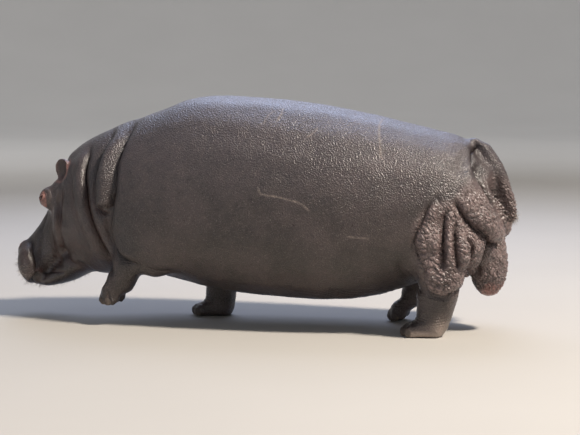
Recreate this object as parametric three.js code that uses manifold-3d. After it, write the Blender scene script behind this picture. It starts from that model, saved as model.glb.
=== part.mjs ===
// Hippopotamus, walking with its head lowered, life size.
// Millimetres. It is modelled facing +X, with its left side towards +Y and the floor at z = 0,
// and turned at the end so that its left side faces -Y.
// The flesh is modelled whole, as closed lofts and ovals joined together. Eyes, ears and tail are
// let into it, and thin cuts then part it into nails, feet, legs, trunk, jaw, head and neck.

import * as THREE from "three";
import { mergeVertices } from "three/addons/utils/BufferGeometryUtils.js";
import Module from "manifold-3d";

const wasm = await Module();
wasm.setup();

// ---- Driving sizes ----

const GAP = 0.3; // clearance between neighbouring parts
const LEFT = 1;
const RIGHT = -1;

const HEAD = { x: 1080, z: 800, pitch: 45 }; // the poll, and how far the face points down
const EYE = { radius: 20, at: [245, 173, 194] };
const EAR = { at: [40, 150, 236], half: [42, 26, 72], turn: 30, lean: 12 };
const EAR_CUP = { share: 0.72, out: 19, up: 12 };
const EAR_ROOT = { half: [36, 34, 60], down: 74 };

const TOES_PER_FOOT = 4;
const TOE_REACH = 110; // ankle to the middle of a toe
const TOE_SPREAD = 40; // degrees between the foot's middle line and its outer toes
const TOE = { half: [66, 36, 50], rise: 32 };
const NAIL_FROM = 42; // from the middle of a toe to the back of its nail
const ANKLE = 92; // height of the foot's cut above its sole

// ---- Shapes ----

const radians = THREE.MathUtils.degToRad;

/** Closed three.js geometry to a manifold-3d solid. */
function solidOf(geometry) {
  const bare = geometry.clone();
  bare.deleteAttribute("normal");
  bare.deleteAttribute("uv");
  const merged = mergeVertices(bare, 1e-3);
  return new wasm.Manifold(
    new wasm.Mesh({
      numProp: 3,
      vertProperties: merged.attributes.position.array,
      triVerts: new Uint32Array(merged.index.array),
    }),
  );
}

/** manifold-3d solid to a three.js geometry. */
function geometryOf(solid) {
  const { vertProperties, triVerts, numProp, numVert } = solid.getMesh();
  const corners = new Float32Array(numVert * 3);
  for (let i = 0; i < numVert; i++) {
    corners.set(vertProperties.subarray(i * numProp, i * numProp + 3), i * 3);
  }
  const geometry = new THREE.BufferGeometry();
  geometry.setAttribute("position", new THREE.BufferAttribute(corners, 3));
  geometry.setIndex(new THREE.BufferAttribute(triVerts, 1));
  return geometry;
}

/** Several geometries joined into one solid. */
const joined = (...geometries) =>
  geometries.map(solidOf).reduce((whole, next) => whole.add(next));

/** The largest body of a cut solid, without the crumbs that the cut left. */
const mainBody = (solid) =>
  solid.decompose().reduce((most, next) => (next.volume() > most.volume() ? next : most));

/** Turns by roll, pitch (nose down) and yaw (to the left), in degrees, then moves to a place. */
function placed(geometry, { at = [0, 0, 0], pitch = 0, yaw = 0, roll = 0 }) {
  const turn = new THREE.Euler(radians(roll), radians(pitch), radians(yaw), "ZYX");
  return geometry.applyMatrix4(new THREE.Matrix4().makeRotationFromEuler(turn).setPosition(...at));
}

const power = (value, exponent) => Math.sign(value) * Math.abs(value) ** exponent;

/** Height of a round end over its length: 0 at the tip, 1 from a share of 1 on. */
const dome = (share) => Math.sqrt(1 - (1 - Math.min(1, Math.max(0, share))) ** 2);

/**
 * A closed body along its own +X, through oval sections across it. A station is
 * [place, high, low, half width, side]: the section's top and bottom edges and how far its
 * middle lies to the side. Both ends close in domes of the stated lengths.
 */
function loft(stations, options = {}) {
  const {
    domes = [60, 60],
    around = 20,
    along = 12,
    square = 2.1, // 2 is an ellipse, more is boxier
    widest = 0.45, // where between low and high the section is widest
    grow = 0,
  } = options;
  const sizes = new THREE.CubicInterpolant(
    stations.map(([place]) => place),
    stations.flatMap(([, high, low, half, side = 0]) => [high, low, half, side]),
    4,
  );
  const first = stations[0][0];
  const length = stations.at(-1)[0] - first;
  const geometry = new THREE.SphereGeometry(1, around, along);
  const corners = geometry.attributes.position;
  for (let i = 0; i < corners.count; i++) {
    const row = Math.floor(i / (around + 1)) / along;
    const share = (row + (1 - Math.cos(Math.PI * row)) / 2) / 2; // rings crowd at the ends
    const x = first + length * share;
    const [high, low, half, side] = sizes.evaluate(x);
    const closing = dome((x - first) / domes[0]) * dome((first + length - x) / domes[1]);
    const margin = closing > 0 ? grow : 0;
    const turn = ((i % (around + 1)) * 2 * Math.PI) / around;
    const across = power(Math.sin(turn), 2 / square);
    const up = power(Math.cos(turn), 2 / square);
    const middle = low + (high - low) * widest;
    const reach = up > 0 ? high - middle : middle - low;
    corners.setXYZ(
      i,
      x + grow * (2 * share - 1),
      side + across * (half * closing + margin),
      middle + up * (reach * closing + margin),
    );
  }
  return geometry;
}

/** A limb's loft: its stations are heights, with front and back edges for high and low. */
const column = (stations, options) =>
  loft(
    stations.map(([height, ...sizes]) => [-height, ...sizes]),
    { widest: 0.5, ...options },
  ).rotateY(Math.PI / 2);

/** An ellipsoid with the given half sizes along x, y and z. */
const oval = (half, { grow = 0, around = 10, along = 8 } = {}) =>
  new THREE.SphereGeometry(1, around, along)
    .rotateX(Math.PI / 2)
    .scale(...half.map((size) => size + grow));

/** The same oval on both sides of the body. */
const pair = ([x, y, z], half, options) =>
  [LEFT, RIGHT].map((side) => placed(oval(half, options), { at: [x, side * y, z] }));

/** A block from one corner to the other, grown by the gap on every face. */
function block(low, high, grow = 0) {
  const size = low.map((from, axis) => high[axis] - from + 2 * grow);
  const middle = low.map((from, axis) => (from + high[axis]) / 2);
  return new THREE.BoxGeometry(...size).translate(...middle);
}

const inHead = (geometry) => placed(geometry, { at: [HEAD.x, 0, HEAD.z], pitch: HEAD.pitch });

// ---- Head, in its own frame: +X along the face, +Z out of the forehead ----

const cranium = loft(
  [
    [-70, 190, -230, 165],
    [60, 214, -262, 200],
    [180, 192, -255, 208],
    [290, 166, -228, 172],
    [400, 137, -192, 144],
    [500, 120, -168, 152],
    [590, 116, -152, 170],
    [700, 10, -142, 150],
  ],
  { domes: [100, 90], around: 14, along: 10 },
);

const muzzle = loft(
  [
    [490, 60, -110, 140],
    [570, 110, -140, 200],
    [640, 88, -156, 222],
    [696, 32, -156, 210],
    [733, -28, -150, 186],
  ],
  { domes: [70, 44], around: 14, along: 8, square: 2.7, widest: 0.4 },
);

const mandible = loft(
  [
    [60, -120, -335, 165],
    [180, -110, -376, 205],
    [300, -118, -364, 202],
    [413, -124, -328, 176],
    [489, -128, -304, 166],
    [556, -132, -274, 170],
    [620, -136, -232, 176],
    [702, -140, -176, 134],
  ],
  { domes: [90, 60], around: 12, along: 9, square: 2.3 },
);

const orbits = pair([220, 130, 158], [80, 62, 86], { around: 9, along: 7 });
const brows = pair([128, 112, 128], [140, 72, 104], { around: 7, along: 5 });
const nostrilPads = pair([594, 86, 80], [62, 46, 40], { around: 8, along: 5 });
const cheeks = pair([215, 132, -70], [188, 98, 178], { around: 9, along: 6 });
const headPairs = [...orbits, ...brows, ...nostrilPads, ...cheeks];
const headShapes = [cranium, muzzle, mandible, ...headPairs].map(inHead);

/** Mouth line from the chin's tip back through the cheek: what lies under it is lower jaw. */
const underMouth = (grow) =>
  inHead(
    placed(block([-900, -400, -500], [200, 400, 0], grow), { at: [690, 0, -152], pitch: 8 }),
  );

/** What lies in front of a slanting cut behind the ears and down to the throat. */
const aheadOfNeck = (grow) =>
  placed(block([0, -500, -900], [900, 500, 700], grow), { at: [1135, 0, 640], pitch: 13 });

const eye = (side, grow) => {
  const [x, y, z] = EYE.at;
  const ball = oval(Array(3).fill(EYE.radius), { grow, around: 9, along: 6 });
  return inHead(placed(ball, { at: [x, side * y, z] }));
};

/** How an ear stands: upright in the world, turned outward and leaning out. */
const earStance = (side) => ({
  at: [EAR.at[0], side * EAR.at[1], EAR.at[2]],
  pitch: -HEAD.pitch,
  yaw: -side * EAR.turn,
  roll: -side * EAR.lean,
});

/** A thick leaf on a root, whose outer face is hollowed into a cup. */
function ear(side) {
  const stand = (geometry) => inHead(placed(geometry, earStance(side)));
  const cup = EAR.half.map((size) => size * EAR_CUP.share);
  const hollow = oval(cup, { around: 7, along: 5 }).translate(0, side * EAR_CUP.out, EAR_CUP.up);
  return joined(...earShapes(side)).subtract(solidOf(stand(hollow)));
}

function earShapes(side, grow = 0) {
  const leaf = oval(EAR.half, { grow, around: 10, along: 6 });
  const root = oval(EAR_ROOT.half, { grow, around: 6, along: 5 }).translate(0, 0, -EAR_ROOT.down);
  return [leaf, root].map((shape) => inHead(placed(shape, earStance(side))));
}

// ---- Neck, trunk and tail ----

const neck = loft(
  [
    [680, 1270, 330, 385],
    [860, 1264, 290, 392],
    [965, 1216, 272, 368],
    [1070, 1172, 276, 328],
    [1170, 1114, 320, 270],
    [1260, 1044, 440, 210],
    [1345, 930, 600, 140],
  ],
  { domes: [120, 110], around: 16, along: 10 },
);

const barrel = loft(
  [
    [-1515, 770, 480, 190],
    [-1460, 930, 450, 268],
    [-1370, 1085, 408, 345],
    [-1275, 1160, 378, 408],
    [-1180, 1196, 345, 446],
    [-1050, 1228, 305, 474],
    [-900, 1264, 252, 490],
    [-717, 1306, 190, 518],
    [-500, 1348, 160, 534],
    [-200, 1391, 163, 538],
    [100, 1413, 182, 530],
    [340, 1419, 215, 512],
    [470, 1400, 245, 500],
    [600, 1344, 278, 486],
    [760, 1290, 320, 462],
    [925, 1226, 390, 420],
  ],
  { domes: [70, 120], around: 18, along: 17, square: 2.2, widest: 0.42 },
);

const shoulders = pair([600, 322, 640], [285, 165, 350], { along: 6 });
const buttocks = pair([-1350, 180, 680], [165, 160, 300], { along: 6 });
const thighBags = pair([-1182, 392, 505], [165, 92, 242], { along: 7 });
const rearLobe = placed(oval([132, 150, 232]), {
  at: [-1400, 20, 438],
  pitch: 4,
});
const trunkShapes = [barrel, ...shoulders, ...buttocks, ...thighBags, rearLobe];

const tail = (grow = 0) =>
  column(
    [
      [1172, -1225, -1352, 62],
      [1130, -1262, -1412, 68],
      [1080, -1305, -1446, 66],
      [1000, -1372, -1500, 60],
      [897, -1424, -1538, 50],
      [806, -1464, -1570, 42],
      [714, -1490, -1582, 34],
      [648, -1518, -1570, 26],
    ],
    { domes: [26, 40], around: 10, along: 9, grow },
  );

/** What lies behind a slanting cut down the front of the shoulder. */
const behindNeck = (grow) =>
  placed(block([-2600, -700, -900], [0, 700, 900], grow), { at: [842, 0, 720], pitch: -7 });

const thighRegion = (side, grow) =>
  placed(oval([250, 300, 360], { grow, around: 10, along: 8 }), { at: [-1172, side * 420, 545] });

// ---- Legs ----

/**
 * How each leg stands: its ankle's place over the sole, how far the toes point down, how much
 * lower the outer toes hang, and its shank as [height, front, back, half width, side].
 */
const stances = {
  foreleg_left: {
    ankle: [814, 312, 226],
    pitch: 42,
    droop: 34,
    shank: [
      [560, 880, 590, 140, 300],
      [480, 892, 624, 128, 308],
      [400, 893, 652, 118, 312],
      [320, 904, 698, 108, 312],
      [254, 934, 740, 100, 312],
      [165, 944, 776, 88, 312],
    ],
  },
  foreleg_right: {
    ankle: [366, -228, 0],
    pitch: 0,
    droop: 0,
    shank: [
      [540, 520, 200, 146, -286],
      [400, 476, 218, 124, -262],
      [250, 446, 236, 106, -240],
      [130, 446, 242, 96, -230],
      [-24, 448, 262, 86, -228],
    ],
  },
  hindleg_left: {
    ankle: [-1086, 300, 0],
    pitch: 0,
    droop: 0,
    shank: [
      [520, -1000, -1330, 130, 300],
      [400, -1012, -1322, 124, 300],
      [302, -1022, -1293, 112, 300],
      [205, -1018, -1262, 102, 300],
      [113, -1014, -1232, 94, 300],
      [-24, -1012, -1182, 84, 300],
    ],
  },
  hindleg_right: {
    ankle: [-893, -270, 82],
    pitch: 34,
    droop: 14,
    shank: [
      [560, -930, -1280, 130, -300],
      [450, -900, -1220, 122, -295],
      [330, -862, -1130, 110, -285],
      [250, -838, -1050, 98, -278],
      [180, -812, -985, 90, -272],
      [120, -804, -950, 82, -270],
    ],
  },
};

const shank = ({ shank: stations }, grow = 0) =>
  column(stations, { domes: [80, 30], around: 10, along: 6, grow });

/** How far each toe is turned from the foot's middle line, as a share of the spread. */
const toeShares = Array.from(
  { length: TOES_PER_FOOT },
  (_, toe) => (2 * toe) / (TOES_PER_FOOT - 1) - 1,
);

/** A toe's middle and turn over the sole. */
function onToe({ droop }, share) {
  const turn = radians(share * TOE_SPREAD);
  const reach = TOE_REACH * (1 - 0.12 * share * share);
  return {
    at: [Math.cos(turn) * reach, Math.sin(turn) * reach * 1.05, TOE.rise - droop * share * share],
    yaw: share * TOE_SPREAD * 0.7,
  };
}

const inFoot = (geometry, { ankle, pitch }) => placed(geometry, { at: ankle, pitch });

function footShapes(stance) {
  const pad = loft(
    [
      [-104, 74, -8, 60],
      [-60, 110, -8, 86],
      [0, 130, -8, 98],
      [60, 112, -8, 108],
      [100, 92, -8, 110],
      [136, 66, -8, 94],
    ],
    { domes: [42, 46], around: 10, along: 6, square: 2.4, widest: 0.34 },
  );
  const toes = toeShares.map((share) =>
    placed(oval(TOE.half, { around: 7, along: 5 }), onToe(stance, share)),
  );
  return [pad, ...toes].map((shape) => inFoot(shape, stance));
}

/** What lies beyond the back of a toe's nail. */
const toeTip = (stance, share, grow) =>
  inFoot(
    placed(block([NAIL_FROM, -TOE.half[1], -90], [90, TOE.half[1], 90], grow), onToe(stance, share)),
    stance,
  );

const underAnkle = (stance, grow) =>
  inFoot(block([-140, -160, -120], [240, 160, ANKLE], grow), stance);

// ---- The animal ----

const skin = (colour) => new THREE.MeshStandardMaterial({ color: colour, roughness: 0.5 });
const materials = {
  grey: skin(0x5b5150),
  pink: skin(0x8a6a66),
  nail: new THREE.MeshStandardMaterial({ color: 0x4a3b34, roughness: 0.6 }),
  eye: new THREE.MeshStandardMaterial({ color: 0x20140f, roughness: 0.1 }),
};

const hippopotamus = new THREE.Group();

function addNode(name, solid, material) {
  const mesh = new THREE.Mesh(geometryOf(solid), material);
  mesh.name = name;
  hippopotamus.add(mesh);
}

const legs = Object.entries(stances);
const legShapes = legs.flatMap(([, stance]) => [shank(stance), ...footShapes(stance)]);
const aboveFloor = solidOf(block([-2500, -1500, 0], [2500, 1500, 2000]));
let flesh = joined(neck, ...trunkShapes, ...headShapes, ...legShapes).intersect(aboveFloor);

/** Sets a piece into the flesh, which is cut back around it. */
function letIn(name, solid, room, material) {
  addNode(name, solid, material);
  flesh = flesh.subtract(room);
}

/** Parts off the flesh inside a region, which is a function of how far it is grown. */
function partOff(name, region, material = materials.grey) {
  addNode(name, mainBody(flesh.intersect(region(0))), material);
  flesh = flesh.subtract(region(GAP));
}

for (const [name, side] of [["left", LEFT], ["right", RIGHT]]) {
  letIn(`eye_${name}`, solidOf(eye(side, 0)), solidOf(eye(side, GAP)), materials.eye);
  letIn(`ear_${name}`, ear(side), joined(...earShapes(side, GAP)), materials.pink);
}
letIn("tail", solidOf(tail()), solidOf(tail(GAP)), materials.grey);

for (const [name, stance] of legs) {
  toeShares.forEach((share, toe) => {
    const tip = (grow) => solidOf(toeTip(stance, share, grow));
    partOff(`${name}_nail_${toe + 1}`, tip, materials.nail);
  });
  partOff(name.replace("leg", "foot"), (grow) => solidOf(underAnkle(stance, grow)));
  const side = Math.sign(stance.ankle[1]);
  const thigh = (grow) => (name.startsWith("hind") ? [thighRegion(side, grow)] : []);
  partOff(name, (grow) => joined(shank(stance, grow), ...thigh(grow)));
}

partOff("trunk", (grow) => solidOf(behindNeck(grow)));
partOff("lower_jaw", (grow) =>
  solidOf(underMouth(grow)).intersect(solidOf(aheadOfNeck(grow))),
);
partOff("head", (grow) => solidOf(aheadOfNeck(grow)));
addNode("neck", mainBody(flesh), materials.grey);

// The animal stands with its left side towards -Y, over the middle of the floor it covers.
hippopotamus.rotation.z = Math.PI;
const middle = new THREE.Box3().setFromObject(hippopotamus).getCenter(new THREE.Vector3());
hippopotamus.position.set(-middle.x, -middle.y, 0);

export default hippopotamus;
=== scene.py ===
"""A museum's life-size hippopotamus, walking with its head lowered.

The solid parts give the body. One hide is drawn over all of them: they are fused, smoothed,
refined where detail is needed and then sculpted with the creases, rolls and wrinkles of loose
wet skin. Eyes, nails and bristles are pieces of their own.
"""

from __future__ import annotations

import itertools
import logging
import math
from collections.abc import Callable, Iterable, Sequence
from dataclasses import dataclass, field
from enum import Enum

import bmesh
import bpy
import numpy as np
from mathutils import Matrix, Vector
from mathutils.bvhtree import BVHTree

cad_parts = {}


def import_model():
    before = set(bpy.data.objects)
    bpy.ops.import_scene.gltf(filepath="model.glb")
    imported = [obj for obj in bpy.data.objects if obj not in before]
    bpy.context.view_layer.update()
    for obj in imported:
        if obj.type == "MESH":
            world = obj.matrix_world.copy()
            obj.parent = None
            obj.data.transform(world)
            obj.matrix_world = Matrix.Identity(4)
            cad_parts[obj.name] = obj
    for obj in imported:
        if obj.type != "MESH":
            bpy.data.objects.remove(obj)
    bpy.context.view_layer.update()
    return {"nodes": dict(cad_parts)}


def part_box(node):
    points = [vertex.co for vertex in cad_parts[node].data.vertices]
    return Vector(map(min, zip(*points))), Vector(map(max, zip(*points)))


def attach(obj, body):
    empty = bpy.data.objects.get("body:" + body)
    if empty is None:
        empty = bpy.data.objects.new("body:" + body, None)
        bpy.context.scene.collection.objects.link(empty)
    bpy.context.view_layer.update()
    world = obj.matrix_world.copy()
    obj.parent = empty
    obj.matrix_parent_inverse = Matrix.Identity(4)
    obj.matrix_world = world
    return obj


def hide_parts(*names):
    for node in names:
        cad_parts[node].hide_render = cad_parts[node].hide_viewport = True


log = logging.getLogger("hippopotamus")

Socket = bpy.types.NodeSocket
Material = bpy.types.Material

MM = 0.001
BODY = "root"
SIDES = {"left": -1.0, "right": 1.0}  # the animal's left side faces -Y
LEGS = ("foreleg_left", "foreleg_right", "hindleg_left", "hindleg_right")
TOES = 4
DATUM = -1.0736  # where the poll lies along the body in the flank's drawings, in metres
EYE_IN_HEAD = (0.245, -0.173, 0.194)  # the left eye's middle in the head's axes, in metres
EYE_RADIUS = 0.020
EAR_IN_HEAD = (0.040, 0.150, 0.236)  # an ear's middle in the head's axes, in metres
INWARD = -0.35  # skin that faces the middle plane more than this takes no fold of the flank
FLOOR_GAP = 0.0004  # the hide's soles lie this far over the floor, in metres


# ---- Small helpers ----


def linear(hex_colour: str) -> tuple[float, float, float, float]:
    """Turns an sRGB hex colour into Blender's linear one.

    Args:
        hex_colour: Six hex digits, such as "5b5150".

    Returns:
        Linear red, green and blue, and an alpha of 1.
    """
    parts = [int(hex_colour[i : i + 2], 16) / 255 for i in (0, 2, 4)]
    curve = [p / 12.92 if p <= 0.04045 else ((p + 0.055) / 1.055) ** 2.4 for p in parts]
    return (*curve, 1.0)


def ease(values: np.ndarray, low: float, high: float) -> np.ndarray:
    """Rises smoothly from 0 at low to 1 at high."""
    share = np.clip((values - low) / (high - low), 0, 1)
    return share * share * (3 - 2 * share)


def bell(values: np.ndarray, width: float) -> np.ndarray:
    """Falls smoothly from 1 at zero to almost 0 at twice the width, on both sides."""
    return np.exp(-((values / width) ** 2))


def dying_ends(share: np.ndarray, start: float, end: float) -> np.ndarray:
    """Fades a line out over a share of its length at its start and at its end."""
    return ease(share, 0, start) * ease(1 - share, 0, end)


def unit(vectors: np.ndarray) -> np.ndarray:
    """Scales vectors, one in each row, to a length of 1."""
    length = np.linalg.norm(vectors, axis=-1, keepdims=True)
    return vectors / np.maximum(length, 1e-12)


def read(
    items: bpy.types.bpy_prop_collection, name: str, width: int, kind: type = np.float32
) -> np.ndarray:
    """Reads a property of many mesh elements at once.

    Args:
        items: The mesh's vertices, edges or faces.
        name: The property's name.
        width: How many numbers each element has.
        kind: The numbers' type.

    Returns:
        One row for each element.
    """
    values = np.empty(len(items) * width, kind)
    items.foreach_get(name, values)
    return values.reshape(-1, width)


def place_object(name: str, mesh: bpy.types.Mesh) -> bpy.types.Object:
    """Links a mesh into the scene as a new object.

    Args:
        name: The object's name.
        mesh: Its mesh.

    Returns:
        The object.
    """
    piece = bpy.data.objects.new(name, mesh)
    bpy.context.scene.collection.objects.link(piece)
    return piece


def mesh_of(name: str, points: np.ndarray, faces: Iterable[Sequence[int]]) -> bpy.types.Mesh:
    """Makes a mesh.

    Args:
        name: The mesh's name.
        points: The vertices' places, in metres, one in each row.
        faces: The faces, each as the rows of its corners.

    Returns:
        The mesh.
    """
    mesh = bpy.data.meshes.new(name)
    mesh.from_pydata(points.tolist(), [], [list(face) for face in faces])
    mesh.update()
    return mesh


def tube(rings: int, around: int, start: int = 0, turned: bool = False) -> list[list[int]]:
    """Joins closed rings of places by squares.

    Args:
        rings: How many rings there are, one after another.
        around: How many places each has.
        start: The row of the first place.
        turned: True to face the squares the other way.

    Returns:
        The squares, each as the rows of its corners.
    """
    faces = []
    for ring, i in itertools.product(range(rings - 1), range(around)):
        a, b = (start + ring * around + k % around for k in (i, i + 1))
        corners = [a, b, b + around, a + around]
        faces.append(corners[:1] + corners[:0:-1] if turned else corners)
    return faces


def smooth_shaded(mesh: bpy.types.Mesh) -> None:
    """Shades every face of a mesh smoothly."""
    mesh.polygons.foreach_set("use_smooth", np.ones(len(mesh.polygons), bool))


def curve_through(points: Sequence[Sequence[float]], steps: int = 10) -> np.ndarray:
    """Draws a smooth line through a few places.

    Args:
        points: The places, in order, of any number of dimensions.
        steps: How many pieces each stretch is divided into.

    Returns:
        The places along the line, one in each row.
    """
    knots = np.array(points, float)
    padded = np.vstack([2 * knots[0] - knots[1], knots, 2 * knots[-1] - knots[-2]])
    places = []
    for before, start, end, after in zip(padded, padded[1:], padded[2:], padded[3:]):
        for t in np.arange(steps) / steps:
            places.append(
                0.5
                * (
                    2 * start
                    + (end - before) * t
                    + (2 * before - 5 * start + 4 * end - after) * t**2
                    + (3 * start - before - 3 * end + after) * t**3
                )
            )
    return np.vstack([places, knots[-1]])


class Grain:
    """Seeded noise over places in space: soft swells, or a net of cells."""

    def __init__(self, seed: int) -> None:
        """Draws the noise's tables.

        Args:
            seed: What the draws start from.
        """
        chance = np.random.default_rng(seed)
        self.order = chance.permutation(256)
        self.slopes = unit(chance.normal(size=(256, 3)))
        self.seats = chance.random((256, 3))

    def _drawn(self, cells: np.ndarray) -> np.ndarray:
        """Gives each cell of a grid its row in the tables."""
        x, y, z = (cells & 255).T
        return self.order[(self.order[(self.order[x] + y) & 255] + z) & 255]

    def swells(self, places: np.ndarray, size: float) -> np.ndarray:
        """Soft swells and hollows.

        Args:
            places: Where it is wanted, in metres.
            size: The distance between swells, in metres.

        Returns:
            A value from about -1 to 1 for each place.
        """
        at = places / size
        low = np.floor(at).astype(int)
        rest = at - low
        soft = rest**3 * (rest * (rest * 6 - 15) + 10)
        total = np.zeros(len(places))
        for corner in itertools.product((0, 1), repeat=3):
            slope = self.slopes[self._drawn(low + corner)]
            weight = np.prod(np.where(corner, soft, 1 - soft), axis=1)
            total += ((rest - corner) * slope).sum(1) * weight
        return total * 1.6

    def net(self, places: np.ndarray, size: float) -> np.ndarray:
        """Pads of skin between grooves.

        Args:
            places: Where it is wanted, in metres.
            size: How wide a pad is, in metres.

        Returns:
            0 in a groove, rising to about 1 in the middle of a pad.
        """
        at = places / size
        low = np.floor(at).astype(int)
        nearest = np.full(len(places), 9.0)
        second = np.full(len(places), 9.0)
        for step in itertools.product((-1, 0, 1), repeat=3):
            cell = low + step
            away = np.linalg.norm(cell + self.seats[self._drawn(cell)] - at, axis=1)
            second = np.minimum(second, np.maximum(nearest, away))
            nearest = np.minimum(nearest, away)
        return np.clip((second - nearest) * 1.7, 0, 1)


@dataclass(frozen=True)
class HeadAxes:
    """The head's own axes: along the face, to the side (+Y) and out of the crown."""

    origin: tuple[float, float, float]
    pitch: float = math.radians(45)

    @property
    def turn(self) -> np.ndarray:
        """The three axes, one in each row."""
        cos, sin = math.cos(self.pitch), math.sin(self.pitch)
        return np.array([[-cos, 0, -sin], [0, 1, 0], [-sin, 0, cos]])

    def local(self, places: np.ndarray) -> np.ndarray:
        """Places in the head's axes, in metres from its origin."""
        return (places - np.array(self.origin)) @ self.turn.T

    def world(self, places: np.ndarray) -> np.ndarray:
        """Places given in the head's axes, in the frame's own."""
        return np.asarray(places) @ self.turn + np.array(self.origin)


# ---- The hide's shape ----


class Plane(Enum):
    """From where a line or a patch on the hide is drawn."""

    FLANK = "flank"  # along the body and up
    FACE = "face"  # along the face and towards the crown
    CROWN = "crown"  # along the face and to the side


@dataclass(frozen=True)
class Crease:
    """A groove in the hide on both sides of the animal, with skin rolled up beside it.

    Attributes:
        line: Places along it, in mm, along the body and up.
        depth: How deep it is, in mm.
        width: Half its width, in mm.
        roll: How high the skin beside it rises, in mm.
        reach: How far the roll spreads from the groove, in mm.
        side: 1 if the roll lies to the left of the line as it runs, -1 if to the right.
        lean: How far the roll hangs over the groove, in mm.
        fade: Share of its length over which each end dies away.
        inner: The least distance from the middle plane that it reaches in to, in mm.
    """

    line: tuple[tuple[float, float], ...]
    depth: float
    width: float
    roll: float = 0.0
    reach: float = 60.0
    side: int = 1
    lean: float = 0.0
    fade: float = 0.2
    inner: float = 0.0


@dataclass(frozen=True)
class Ridge:
    """A sausage of skin raised along a line, in mm, as for Crease, which fades at each end."""

    line: tuple[tuple[float, float], ...]
    height: float
    width: float
    fade: tuple[float, float] = (0.25, 0.25)


@dataclass(frozen=True)
class Bulge:
    """A soft mass under the hide on both sides.

    Its middle, half sizes and height are in mm, and its turn is in degrees.
    """

    at: tuple[float, float]
    half: tuple[float, float]
    height: float
    turn: float = 0.0


# The edge of the loose skin that hangs down the outside of the thigh, from the top down.
SACK = ((1150, 840), (1112, 770), (1088, 700), (1052, 630), (1036, 560), (1056, 486), (1086, 425),
        (1094, 365), (1098, 315), (1126, 274), (1185, 256), (1245, 264), (1300, 298), (1335, 350))

CREASES = (
    # The mouth: the slit between the lips, and its corner running back into the cheek.
    Crease(((-1500, 172), (-1476, 205), (-1452, 246), (-1428, 276), (-1410, 292)), 24, 7,
           roll=2, reach=26, side=-1, fade=0.1, inner=60),
    Crease(((-1420, 280), (-1385, 287), (-1340, 297), (-1290, 297), (-1240, 290)), 11, 7,
           roll=2, reach=34, side=-1, inner=60),
    # Behind the big pad of the upper lip.
    Crease(((-1506, 505), (-1474, 450), (-1446, 393), (-1429, 340), (-1432, 292)), 17, 13,
           roll=3, reach=70, side=-1, lean=4, inner=60),
    # From the corner of the eye down the side of the face.
    Crease(((-1388, 690), (-1405, 610), (-1425, 515), (-1416, 430), (-1412, 350)), 8, 10,
           inner=60),
    Crease(((-1312, 740), (-1334, 650), (-1342, 540), (-1333, 448), (-1302, 368), (-1256, 312)),
           16, 14, roll=7, reach=60, side=1, inner=60),
    Crease(((-1240, 850), (-1262, 740), (-1266, 640), (-1268, 551), (-1262, 450), (-1221, 378),
            (-1150, 332), (-1085, 306)), 17, 13, roll=6, reach=60, side=1, inner=60),
    Crease(((-1172, 370), (-1120, 352), (-1075, 312), (-1050, 275)), 10, 9, roll=6, reach=40),
    # Rolls of the neck, which run right over it and down to the throat.
    Crease(((-1130, 1010), (-1166, 880), (-1156, 771), (-1122, 673), (-1091, 596), (-1040, 500)),
           11, 16, roll=3, reach=70, side=1),
    Crease(((-1055, 1120), (-1080, 959), (-1060, 831), (-1049, 770), (-1026, 679), (-968, 526),
            (-925, 430), (-869, 347), (-840, 280)), 36, 14, roll=8, reach=90, side=-1, lean=14,
           fade=0.14),
    Crease(((-905, 1210), (-958, 1062), (-986, 950), (-994, 840), (-978, 752), (-940, 704),
            (-895, 690), (-862, 712)), 32, 13, roll=3, reach=44, side=1, fade=0.1),
    Crease(((-760, 1260), (-806, 1127), (-830, 1030), (-838, 930), (-838, 840), (-862, 750),
            (-905, 700)), 42, 14, roll=3, reach=60, side=1, lean=10, fade=0.2),
    Crease(((-838, 860), (-846, 760), (-866, 660), (-876, 561), (-826, 476), (-744, 412),
            (-640, 372)), 34, 15, roll=10, reach=80, side=1, lean=12, inner=180),
    Crease(((-905, 700), (-898, 610), (-884, 545), (-862, 480), (-846, 400)), 16, 14, inner=180),
    # Loose skin of the buttock and thigh.
    Crease(((1262, 838), (1286, 792), (1348, 699), (1429, 607), (1499, 540), (1545, 505)), 48, 13,
           roll=22, reach=100, side=1, lean=20, fade=0.14, inner=90),
    Crease(((1236, 790), (1212, 724), (1203, 639), (1207, 568), (1208, 480), (1218, 405)),
           40, 11, roll=7, reach=44, side=1, inner=180),
    Crease(((1288, 730), (1281, 639), (1284, 560), (1291, 495), (1304, 428), (1322, 384)),
           38, 10, roll=6, reach=40, side=1, inner=180),
    Crease(((1345, 690), (1416, 634), (1452, 568), (1430, 484), (1405, 421), (1350, 368),
            (1300, 372)), 38, 11, roll=6, reach=44, side=-1, inner=120),
    Crease(SACK, 20, 11, roll=16, reach=80, side=1, lean=12, fade=0.1,
           inner=180),
    Crease(((1040, 500), (1082, 512), (1124, 524), (1160, 530)), 12, 10, roll=3, inner=180),
    Crease(((1108, 372), (1160, 338), (1225, 330), (1290, 350)), 10, 9, roll=4, reach=30,
           inner=180),
    Crease(((1150, 870), (1180, 800), (1172, 720), (1180, 640)), 9, 14, inner=180),
    # Beside the root of the tail, and the valley in which it lies.
    Crease(((1322, 1195), (1346, 1094), (1366, 1030), (1405, 945), (1470, 838), (1522, 740),
            (1556, 640)), 62, 18, roll=6, reach=70, side=-1, lean=6, fade=0.1, inner=30),
    # Between the toes of the lifted forefoot.
    Crease(((-872, 225), (-868, 170), (-862, 118)), 13, 7, roll=3, reach=26, fade=0.3, inner=180),
    # Where the elbow and the knee leave the belly.
    Crease(((-640, 372), (-560, 352), (-480, 348), (-380, 330)), 9, 12, roll=4, inner=180),
    Crease(((930, 470), (940, 400), (985, 330), (1040, 285), (1100, 262)), 12, 15, roll=7,
           reach=60, side=-1, inner=180),
)

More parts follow.
